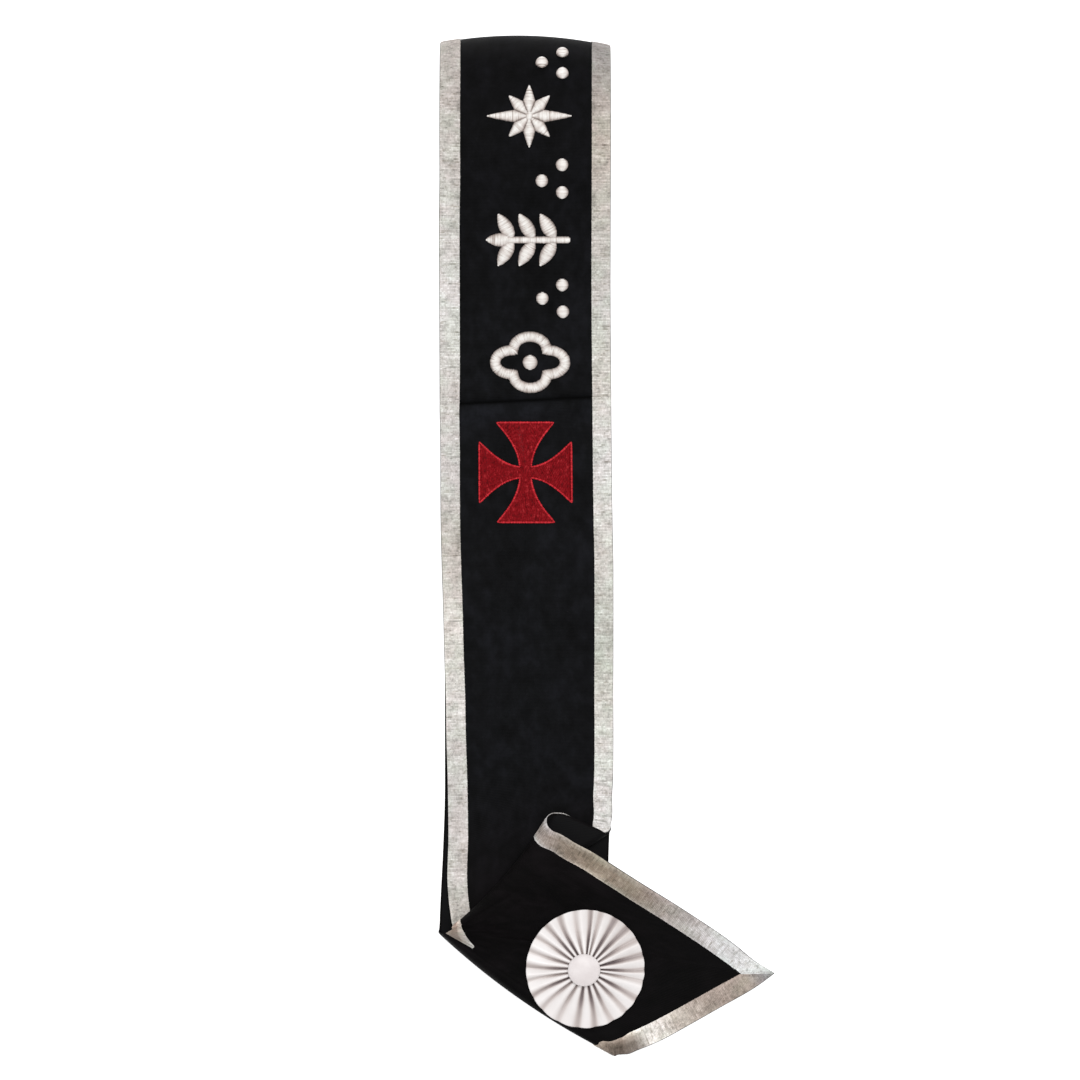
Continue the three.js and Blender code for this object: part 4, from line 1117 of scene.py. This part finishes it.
def wound(name, place, strokes, rise, material, pitch=SATIN_PITCH, lean=0.12, seed=1,
          width=SATIN_WIDTH, thick=SATIN_THICK, steady=0.4, slack=0.05):
    """A padded ornament: its strokes' pads, and threads wound over all of them. strokes
    are pairs of a path and whether it is closed. The threads' places, for their finish,
    run from -1 to 1 over a stroke and on along it."""
    chance = np.random.default_rng(seed)
    pads, lines_over, ups, places = [], [], [], []
    for path, closed in strokes:
        length = np.linalg.norm(np.diff(path[:, :2], axis=0), axis=1).sum()
        count = max(4, round(length / pitch))
        at = (np.arange(count) + 0.5 + chance.uniform(-0.3, 0.3, count)) * length / count
        points, up = arches(place, path, at, rise, closed, chance.normal(0, lean, (count, 1)),
                            chance.normal(0, slack, (count, 1)), steady)
        lines_over.append(points)
        ups.append(up)
        places.append(np.stack(np.broadcast_arrays(
            -np.cos(ARCH)[None, :], at[:, None], 7.0 * len(places) + seed), axis=-1))
        stops = np.linspace(0, length, max(5, round(length / PAD_STEP)), endpoint=not closed)
        sections, _ = arches(place, path, stops, rise, closed, slack=-PAD_UNDER, steady=steady)
        faces, _ = skin(sections, ARCH, closed=closed)
        if not closed:
            last = (len(sections) - 1) * len(ARCH)
            faces += [list(range(len(ARCH))), [last + k for k in reversed(range(len(ARCH)))]]
        pads.append(make_piece(f"{name}_pad_{len(pads)}", sections, faces, material))
    threads = lay_threads(f"{name}_threads", np.concatenate(lines_over), np.concatenate(ups),
                          material, width, thick, 0.75, 0.25, 5, seed, np.concatenate(places))
    return joined(name, *pads, threads)


def stroke(x, y, width, full=1.0):
    """A path for arches, from its columns."""
    return np.stack(np.broadcast_arrays(x, y, width, full), axis=-1).astype(float)


def knot_path():
    """A closed stroke round four lobes, each a part of a circle."""
    angle = np.linspace(0, 2 * math.pi, 241)
    off_lobe = angle - np.round(angle / (math.pi / 2)) * math.pi / 2
    beside = KNOT["lobe_at"] * np.sin(off_lobe)
    radius = KNOT["lobe_at"] * np.cos(off_lobe) + np.sqrt(KNOT["lobe_radius"] ** 2 - beside**2)
    return stroke(KNOT["wide"] * radius * np.cos(angle), KNOT["tall"] * radius * np.sin(angle),
                  KNOT["stroke"])


def leaf_path(x, y, degrees, length, width):
    """A leaf as one stroke from its stem to its tip."""
    share = np.linspace(0, 1, 33)
    belly = np.sin(math.pi * share**0.85) ** 0.7
    way = math.radians(degrees)
    return stroke(x + length * share * math.cos(way), y + length * share * math.sin(way),
                  np.maximum(width * belly, 0.9), np.clip(belly, 0.35, 1))


def sprig_strokes():
    """A stem with pairs of leaves and a leaf at its end."""
    at = np.linspace(SPRIG["stem_from"], SPRIG["stem_to"], 45)
    blunt = np.clip(np.minimum(at[0] - at, at - at[-1]) / 1.6, 0, 1) ** 0.5
    stem = stroke(at, 0, SPRIG["stem_width"] * (0.5 + 0.5 * blunt), 0.6 + 0.35 * blunt)
    length, width, turn = SPRIG["leaf_length"], SPRIG["leaf_width"], SPRIG["leaf_turn"]
    leaves = [
        leaf_path(at, side * 0.6, side * turn, length, width)
        for at in SPRIG["pairs_at"] for side in (1, -1)
    ]
    leaves.append(leaf_path(SPRIG["end_leaf_at"], 0, 180, SPRIG["end_leaf_length"], width))
    return [(leaf, False) for leaf in leaves] + [(stem, False)]


def ray_path(ray):
    """One ray of the star: a wedge out of the middle, then a leaf that ends in a point."""
    tip = STAR_RAYS["between"] if ray % 2 else STAR_RAYS["across" if ray % 4 == 0 else "along"]
    far = np.linspace(0.6, tip, 49)
    wedge = far * math.tan(math.pi / 8)
    past = np.clip((tip - far) / (tip - 8.5), 0, 1)
    half = np.minimum(wedge, RAY_BELLY * past**0.8 + 0.25)
    way = math.pi / 4 * ray
    return stroke(far * math.cos(way), far * math.sin(way), 2 * half,
                  np.clip(0.35 + half / RAY_BELLY, 0.4, 1))


def disc_path(radius):
    """A round dot as one stroke whose width follows its circle."""
    along = radius * np.sin(np.linspace(-1.45, 1.45, 33))
    half = np.sqrt(radius**2 - along**2)
    return stroke(0, along, 2 * half, np.sqrt(half / radius))


silver_thread, tree, shader = new_finish(
    "silver_thread", Specular_IOR_Level=0.45, Sheen_Weight=0.1, Sheen_Roughness=0.35
)
place, tone = carried(tree, "place", "Vector"), carried(tree, "tone")
cloudy = speckle(tree, stretched(tree, place, (0.6, 0.3, 1.0)), 1.0, 3.0, 0.55)
level = sum_up(tree, "MULTIPLY_ADD", tone, 0.2, sum_up(tree, "MULTIPLY", cloudy, 0.9))
pale = tints(tree, level, [
    (0.3, (0.60, 0.54, 0.51)), (0.45, (0.73, 0.69, 0.655)), (0.6, (0.83, 0.805, 0.775)),
    (0.75, (0.90, 0.885, 0.86)),
])
# Painted shade: the sides of a stroke are darker than its crown, and here and there a thread that
# sinks in is painted darker
over = add_node(tree, "ShaderNodeSeparateXYZ", [place]).outputs[0]
sides = tints(tree, sum_up(tree, "MULTIPLY_ADD", over, 0.5, 0.5), [
    (0.0, (0.34, 0.29, 0.27)), (0.07, (0.62, 0.56, 0.54)), (0.24, (0.93, 0.91, 0.90)),
    (0.5, (1.0, 1.0, 1.0)), (0.76, (0.93, 0.90, 0.89)), (0.93, (0.66, 0.60, 0.58)),
    (1.0, (0.38, 0.32, 0.31)),
])
sunken_thread_shade = tints(tree, tone, [
    (0.0, (0.66, 0.60, 0.57)), (0.025, (0.72, 0.67, 0.65)), (0.04, (1.0, 1.0, 1.0)),
    (1.0, (1.03, 1.03, 1.03)),
])
coat(tree, shader, tinted(tree, pale, sides, sunken_thread_shade),
     sum_up(tree, "MULTIPLY_ADD", tone, 0.18, 0.34))

knot = wound("knot_satin", on_leg(ORNAMENT_X, KNOT_Y), [(knot_path(), True)], SATIN_RISE,
             silver_thread, seed=11, steady=3.0)
hand_over(knot, "silver_thread", "knot_ornament")
boss = wound("knot_boss_satin", on_leg(ORNAMENT_X, KNOT_Y), [(disc_path(BOSS_RADIUS), False)],
             DOT_RISE, silver_thread, lean=0.01, seed=12, slack=0.015)
hand_over(boss, "silver_thread", "knot_boss")
sprig = wound("sprig_satin", on_leg(ORNAMENT_X, SPRIG_Y), sprig_strokes(), SATIN_RISE,
              silver_thread, lean=0.06, seed=13)
hand_over(sprig, "silver_thread", "sprig_ornament")
star_strokes = [(ray_path(k), False) for k in range(8)] + [(disc_path(STAR_MIDDLE), False)]
star = wound("star_satin", on_leg(ORNAMENT_X, STAR_Y), star_strokes, SATIN_RISE, silver_thread,
             lean=0.05, seed=14)
hand_over(star, "silver_thread", "star_ornament")
dots = []
for group, places_of_dots in DOT_GROUPS.items():
    for k, at in enumerate(places_of_dots, start=1):
        dot = wound(f"dot_satin_{group}_{k}", on_leg(*at), [(disc_path(DOT_RADIUS), False)],
                    DOT_RISE, silver_thread, lean=0.01, seed=20 + len(dots), slack=0.012)
        hand_over(dot, "silver_thread", f"dot_{group}_{k}")
        dots.append(dot)


# The cross
# A red cross with four flaring arms: long stitches of dark red thread side by side over a
# thin pad, and a brighter red cord wound round its outline.
CROSS_AT = (-51.7, 46.3)
CROSS_WIDE, CROSS_TALL, CROSS_FLARES, CROSS_NECK = 54.7, 60.1, (17.2, 15.9), 2.3
WAIST_ALONG, WAIST_BESIDE = 0.42, 0.9
CORNER_ALONG, CORNER_BESIDE = 0.67, 0.48
# How far the pad, the stitches and the cord reach past the cross's own outline
PAD_GROW, STITCH_GROW, CORD_GROW = 0.5, 0.7, 1.1
PAD_HEIGHT = 0.75
COLUMN_STEP, STITCH_LENGTH, STITCH_WIDTH, STITCH_THICK = 0.38, 2.6, 0.56, 0.28
SHORTEST_STITCH = 0.6
CORD_WIDTH, CORD_RISE, CORD_PITCH = 1.15, 1.0, 0.5
STRAND_WIDTH, STRAND_THICK = 0.62, 0.3


def bezier(a, b, c, d, count=15):
    """Points of a smooth curve from a to d, which b and c draw towards themselves."""
    u = np.linspace(0, 1, count)[:, None]
    a, b, c, d = (np.array(p, float) for p in (a, b, c, d))
    return (1 - u) ** 3 * a + 3 * (1 - u) ** 2 * u * b + 3 * (1 - u) * u**2 * c + u**3 * d


def cross_sides(grow):
    """The twelve sides of the cross in the flat, grown outwards."""
    reaches = (CROSS_WIDE / 2 + grow, CROSS_TALL / 2 + grow)
    flares = [flare + grow * 1.6 for flare in CROSS_FLARES]
    neck = CROSS_NECK + grow * 0.9
    sides = []
    for arm in range(4):
        reach, before = reaches[arm % 2], reaches[(arm + 1) % 2]
        flare, flare_before = flares[arm % 2], flares[(arm + 1) % 2]
        ox, oy = ((1, 0), (0, 1), (-1, 0), (0, -1))[arm]

        def at(along, beside):
            return (ox * along - oy * beside, oy * along + ox * beside)

        sides += [
            bezier(at(flare_before, -before),
                   at(CORNER_BESIDE * flare_before, -CORNER_ALONG * before),
                   at(neck + WAIST_BESIDE, -WAIST_ALONG * before), at(neck, -neck)),
            bezier(at(neck, -neck), at(WAIST_ALONG * reach, -neck - WAIST_BESIDE),
                   at(CORNER_ALONG * reach, -CORNER_BESIDE * flare), at(reach, -flare)),
            bezier(at(reach, -flare), at(reach, -flare / 3), at(reach, flare / 3),
                   at(reach, flare)),
        ]
    return sides


def cross_outline(grow):
    return np.concatenate([side[:-1] for side in cross_sides(grow)])


def crossings(outline, x):
    """Heights at which a vertical line crosses an outline, in order."""
    a, b = outline, np.roll(outline, -1, axis=0)
    hit = (a[:, 0] > x) != (b[:, 0] > x)
    share = (x - a[hit, 0]) / (b[hit, 0] - a[hit, 0])
    return np.sort(a[hit, 1] + share * (b[hit, 1] - a[hit, 1]))


def cross_stitches(outline, seed):
    """Stitches in columns, each column's set off from the one before it."""
    chance = np.random.default_rng(seed)
    stitches = []
    for column, x in enumerate(np.arange(-CROSS_WIDE / 2, CROSS_WIDE / 2, COLUMN_STEP)):
        edges = crossings(outline, x)
        for low, high in zip(edges[::2], edges[1::2]):
            offset = (0.37 * column % 1 - 1) * STITCH_LENGTH
            breaks = np.arange(low + offset, high + STITCH_LENGTH, STITCH_LENGTH)
            breaks = np.clip(breaks + chance.uniform(-0.5, 0.5, len(breaks)), low, high)
            stitches += [(x, a, b) for a, b in zip(breaks, breaks[1:]) if b - a > SHORTEST_STITCH]
    return np.array(stitches)


red_thread, tree, shader = new_finish("red_thread", Specular_IOR_Level=0.1)
tone = carried(tree, "tone")
mottled = speckle(tree, carried(tree, "place", "Vector"), 0.33, 4.0, 0.7)
level = sum_up(tree, "MULTIPLY_ADD", tone, 0.22, sum_up(tree, "MULTIPLY", mottled, 0.9))
dark_red = tints(tree, level, [
    (0.36, (0.10, 0.0008, 0.0026)), (0.46, (0.17, 0.0016, 0.0044)),
    (0.54, (0.205, 0.002, 0.0052)), (0.66, (0.26, 0.004, 0.009)), (0.8, (0.42, 0.03, 0.035)),
])
coat(tree, shader, dark_red, sum_up(tree, "MULTIPLY_ADD", tone, 0.2, 0.42))

on_cross = on_leg(*CROSS_AT)
field = cross_outline(PAD_GROW)
levels = [(0.985, 0.05), (1.0, 0.4), (0.97, PAD_HEIGHT)]
edge_sections = np.stack([on_cross(field * share, height)[0] for share, height in levels], axis=1)
size, high = edge_sections.shape[:2]
cross_faces = skin(edge_sections, np.arange(high), closed=True, ring=False)[0]
cross_faces.append([k * high for k in reversed(range(size))])
cross_faces.append([k * high + high - 1 for k in range(size)])
cross_pad = make_piece("cross_pad", edge_sections, cross_faces, red_thread)
stitches = cross_stitches(cross_outline(STITCH_GROW), seed=31)
share = np.linspace(0, 1, 5)
flat = np.stack([
    stitches[:, :1] + 0 * share,
    stitches[:, 1:2] * (1 - share) + stitches[:, 2:3] * share,
], axis=-1)
points, ups = on_cross(flat, PAD_HEIGHT + 0.3 * np.sin(math.pi * share) ** 0.6 - 0.1)
stitching = lay_threads("cross_stitches", points, ups, red_thread, STITCH_WIDTH, STITCH_THICK,
                        taper=0.7, uneven=0.3, sides=5, seed=32)
cross_field = joined("cross_filling", cross_pad, stitching)
hand_over(cross_field, "red_thread", "cross_field")

red_cord, tree, shader = new_finish("red_cord", Specular_IOR_Level=0.15)
tone = carried(tree, "tone")
bright_red = tints(tree, tone, [(0.0, (0.40, 0.011, 0.018)), (1.0, (0.68, 0.035, 0.048))])
coat(tree, shader, bright_red, sum_up(tree, "MULTIPLY_ADD", tone, 0.2, 0.4))

cord_sides = []
for side in cross_sides(CORD_GROW):
    to_end = np.minimum(np.linalg.norm(side - side[0], axis=1),
                        np.linalg.norm(side - side[-1], axis=1))
    pointed = np.clip(0.45 + to_end / 2.2, 0, 1)
    cord_sides.append((stroke(*side.T, CORD_WIDTH * pointed, pointed), False))
cord = wound("cross_cord", on_cross, cord_sides, CORD_RISE, red_cord, CORD_PITCH, lean=0.25,
             seed=33, width=STRAND_WIDTH, thick=STRAND_THICK)
hand_over(cord, "red_cord", "cross_outline")


# The rosette
# A strip of white satin, pleated round a stiff backing disc and sewn to the flap. Its
# folds are deep and narrow beside the button and open towards the rim.
ROSETTE_AT = (-14.0, -262.9)
ROSETTE_RADIUS, ROSETTE_HOLE, ROSETTE_LIFT = 36.9, 6.3, 2.85
SEAT_AT = 28                  # how far out the flap's slope is read
# Where the folds lie, in degrees clockwise from the right
FOLDS_AT = (1, 12, 30, 46, 62, 80, 97, 117, 137, 152, 168, 183, 198, 213, 227, 243, 259, 275,
            284, 300, 315, 330, 346)
FOLD_STEPS, RING_COUNT = 16, 40
HUB_DEPTH, RIM_DEPTH, MIDDLE_RISE, SATIN_CLOTH = 3.6, 1.5, 2.4, 0.8
RIM_BULGE = 0.008             # how much further out the rim is between two folds
# How wide and how dark a fold's painted shade is, at shares of the radius
FOLD_PLACES = (0.17, 0.3, 0.5, 0.7, 0.85, 1.0)
FOLD_WIDTHS = (0.28, 0.285, 0.31, 0.29, 0.33, 0.36)
FOLD_DARKS = (0.90, 0.90, 0.85, 0.62, 0.54, 0.51)
FOLD_SWAY, FOLD_HEIGHTS, FOLD_SHADES = math.radians(1.6), (0.75, 1.25), (0.65, 1.15)
# Where the rosette is painted greyer on one side, as shade, and how much
SHADED_SECTOR, SIDE_SHADE = math.radians(50), 0.22
BACKING = {"radius": 23, "low": -2.15, "high": -0.8, "sides": 72}

flap_tree = BVHTree.FromObject(ribbon, bpy.context.evaluated_depsgraph_get())


def flap_height(x, y):
    hit = flap_tree.ray_cast(Vector((x * MM, y * MM, 0.1)), Vector((0, 0, -1)))[0]
    return hit.z / MM


def rosette_frame():
    """A plane over the flap's face: its middle and its three axes as rows."""
    x, y = ROSETTE_AT
    left, right = flap_height(x - SEAT_AT, y), flap_height(x + SEAT_AT, y)
    up, down = flap_height(x, y + SEAT_AT), flap_height(x, y - SEAT_AT)
    ex = unit(np.array([2 * SEAT_AT, 0, right - left]))
    ez = unit(np.cross(ex, [0, 2 * SEAT_AT, up - down]))
    high = max(flap_height(x, y), (left + right) / 2, (up + down) / 2)
    return np.array([x, y, high + ROSETTE_LIFT]), np.array([ex, np.cross(ez, ex), ez])


rosette_middle, rosette_axes = rosette_frame()


def on_rosette(points):
    return rosette_middle + np.asarray(points) @ rosette_axes


def pleat_grid():
    """Rings of points from the hub to the rim, with how much painted shade each one gets: dark in
    the folds, and greyer on one side.
    """
    chance = np.random.default_rng(41)
    folds = -np.radians(np.array(FOLDS_AT, float))
    folds = np.concatenate([folds, [folds[0] - 2 * math.pi]])
    u = np.arange(FOLD_STEPS) / FOLD_STEPS
    gap = np.repeat(np.arange(len(FOLDS_AT)), FOLD_STEPS)
    u = np.tile(u, len(FOLDS_AT))
    sway = chance.normal(0, FOLD_SWAY, len(FOLDS_AT))
    strength = chance.uniform(*FOLD_HEIGHTS, len(FOLDS_AT))[gap]
    darkness = chance.uniform(*FOLD_SHADES, len(FOLDS_AT))
    sway, darkness = np.append(sway, sway[0]), np.append(darkness, darkness[0])
    share = np.linspace(ROSETTE_HOLE / ROSETTE_RADIUS, 1, RING_COUNT)[:, None]
    bend = np.sin(math.pi * np.clip((share - 0.2) / 0.8, 0, 1))
    angle = (folds[gap] + sway[gap] * bend) * (1 - u) + (folds[gap + 1] + sway[gap + 1] * bend) * u
    hub = 1 - abs(2 * u - 1) ** 3.2
    soft = 0.5 - 0.5 * np.cos(2 * math.pi * u**0.72)
    opening = np.clip((share - 0.28) / 0.6, 0, 1)
    opening = opening * opening * (3 - 2 * opening)
    shape = hub * (1 - opening) + soft * opening
    depth = (HUB_DEPTH + (RIM_DEPTH - HUB_DEPTH) * share**0.8) * strength
    rise = MIDDLE_RISE * (1 - share) ** 1.5 + depth * (shape - 0.5)
    bulge = 1 + RIM_BULGE * (np.sin(math.pi * u) - 0.6) * share**3
    radius = ROSETTE_RADIUS * share * bulge
    points = np.stack([radius * np.cos(angle), radius * np.sin(angle), rise], axis=-1)
    wide = np.interp(share, FOLD_PLACES, FOLD_WIDTHS)
    dark = np.interp(share, FOLD_PLACES, FOLD_DARKS)
    after = np.exp(-((u / wide) ** 2)) * darkness[gap]
    before = np.exp(-(((1 - u) / (wide * (0.55 + 0.45 * (1 - share)))) ** 2)) * darkness[gap + 1]
    shaded_side = np.clip(np.cos(angle - SHADED_SECTOR), 0, 1) ** 6 * SIDE_SHADE * share
    return points, np.clip((after + before) * dark + shaded_side, 0, 1)


white_satin, tree, shader = new_finish(
    "white_satin", Specular_IOR_Level=0.45, Sheen_Weight=0.06, Sheen_Roughness=0.3
)
object_place = add_node(tree, "ShaderNodeTexCoord").outputs["Object"]
fine_satin = speckle(tree, object_place, 900.0, 3.0, 0.6)
cloudy = speckle(tree, object_place, 55.0)
# Painted shade: the satin is darker in the folds and on one side, by in_fold
lit = tints(tree, carried(tree, "in_fold"), [
    (0.0, (0.86, 0.83, 0.825)), (0.2, (0.78, 0.74, 0.73)), (0.45, (0.55, 0.49, 0.47)),
    (0.7, (0.30, 0.25, 0.245)), (1.0, (0.12, 0.09, 0.095)),
])
shade = tints(tree, cloudy, [(0.35, (0.93, 0.92, 0.915)), (0.65, (1.0, 1.0, 1.0))])
coat(tree, shader, tinted(tree, lit, shade), sum_up(tree, "MULTIPLY_ADD", fine_satin, 0.15, 0.3))
raise_grain(tree, shader, fine_satin, 0.00006)

pleat_points, fold_shades = pleat_grid()
top = on_rosette(pleat_points)
under = on_rosette(pleat_points[::-2] - (0, 0, SATIN_CLOTH))
satin_rings = np.concatenate([top, under])
satin_faces = skin(satin_rings, np.arange(satin_rings.shape[1]), closed=True)[0]
pleats = make_piece("rosette_satin", satin_rings, satin_faces, white_satin)
store(pleats.data, "in_fold", "value", np.concatenate([fold_shades, fold_shades[::-2]]))
hand_over(pleats, "rosette_satin", "rosette_pleats")


def turned(name, profile, sides, material, gathers=0.0, off=(0, 0)):
    """A round piece from its profile of radius and height. gathers pucker its lower part."""
    angle = np.linspace(0, 2 * math.pi, sides, endpoint=False)
    profile = np.array(profile, float)
    low = 1 - np.clip((profile[:, 1] - profile[:, 1].min()) / np.ptp(profile[:, 1]), 0, 1)
    pucker = 1 + gathers * low[:, None] ** 2 * np.cos(22 * angle + 2 * np.sin(3 * angle))
    radius = profile[:, :1] * pucker
    rings = np.stack([radius * np.cos(angle), radius * np.sin(angle),
                      profile[:, 1:2] + 0 * angle], axis=-1)
    faces, _ = skin(rings, angle)
    last = (len(profile) - 1) * sides
    faces += [list(reversed(range(sides))), [last + k for k in range(sides)]]
    return make_piece(name, on_rosette(rings + (*off, 0)), faces, material)


stiff_backing, tree, shader = new_finish("stiff_backing", Roughness=0.85)
object_place = add_node(tree, "ShaderNodeTexCoord").outputs["Object"]
fibres = speckle(tree, object_place, 700.0, 4.0, 0.7)
coat(tree, shader, tints(tree, fibres, [(0.3, (0.62, 0.58, 0.55)), (0.7, (0.78, 0.75, 0.72))]))
raise_grain(tree, shader, fibres, 0.00012)
radius, low, high = BACKING["radius"], BACKING["low"], BACKING["high"]
backing = turned(
    "rosette_backing_disc",
    [(radius * 0.5, low), (radius - 0.4, low), (radius, low + 0.35), (radius, high - 0.35),
     (radius - 0.4, high), (radius * 0.5, high)],
    BACKING["sides"], stiff_backing,
)
hand_over(backing, "backing_cloth", "rosette_backing")


# The button
# A domed button covered with the same satin in one smooth piece, gathered underneath and
# sewn over the middle of the pleats.
BUTTON_RADIUS, BUTTON_HEIGHT, BUTTON_SEAT = 10.1, 4.4, 4.4
BUTTON_OFF = (-1.1, 0.0)      # the button sits beside the middle of the pleats
BUTTON_GATHERS = 0.012        # how far the gathers pucker its underside
CROWN_STEPS, BUTTON_SIDES = 16, 96

button_satin, tree, shader = new_finish(
    "button_satin", Specular_IOR_Level=0.4, Sheen_Weight=0.05, Sheen_Roughness=0.3
)
object_place = add_node(tree, "ShaderNodeTexCoord").outputs["Object"]
fine_satin = speckle(tree, object_place, 1100.0, 3.0, 0.6)
cloudy = speckle(tree, object_place, 120.0)
coat(tree, shader, tints(tree, cloudy, [(0.35, (0.70, 0.645, 0.64)), (0.65, (0.77, 0.72, 0.715))]),
     sum_up(tree, "MULTIPLY_ADD", fine_satin, 0.15, 0.36))
raise_grain(tree, shader, fine_satin, 0.00006)

over = np.linspace(0, math.pi / 2, CROWN_STEPS, endpoint=False)
crown = [
    (BUTTON_RADIUS * math.cos(a) ** 0.85, BUTTON_SEAT + BUTTON_HEIGHT * (0.36 + 0.64 * math.sin(a)))
    for a in over
]
underside = [
    (BUTTON_RADIUS * share, BUTTON_SEAT + BUTTON_HEIGHT * height)
    for share, height in ((0.4, 0), (0.78, 0), (0.9, 0.08), (0.97, 0.2), (0.995, 0.32))
]
button = turned("button_satin_dome", underside + crown, BUTTON_SIDES, button_satin,
                BUTTON_GATHERS, BUTTON_OFF)
hand_over(button, "button_satin", "rosette_button")
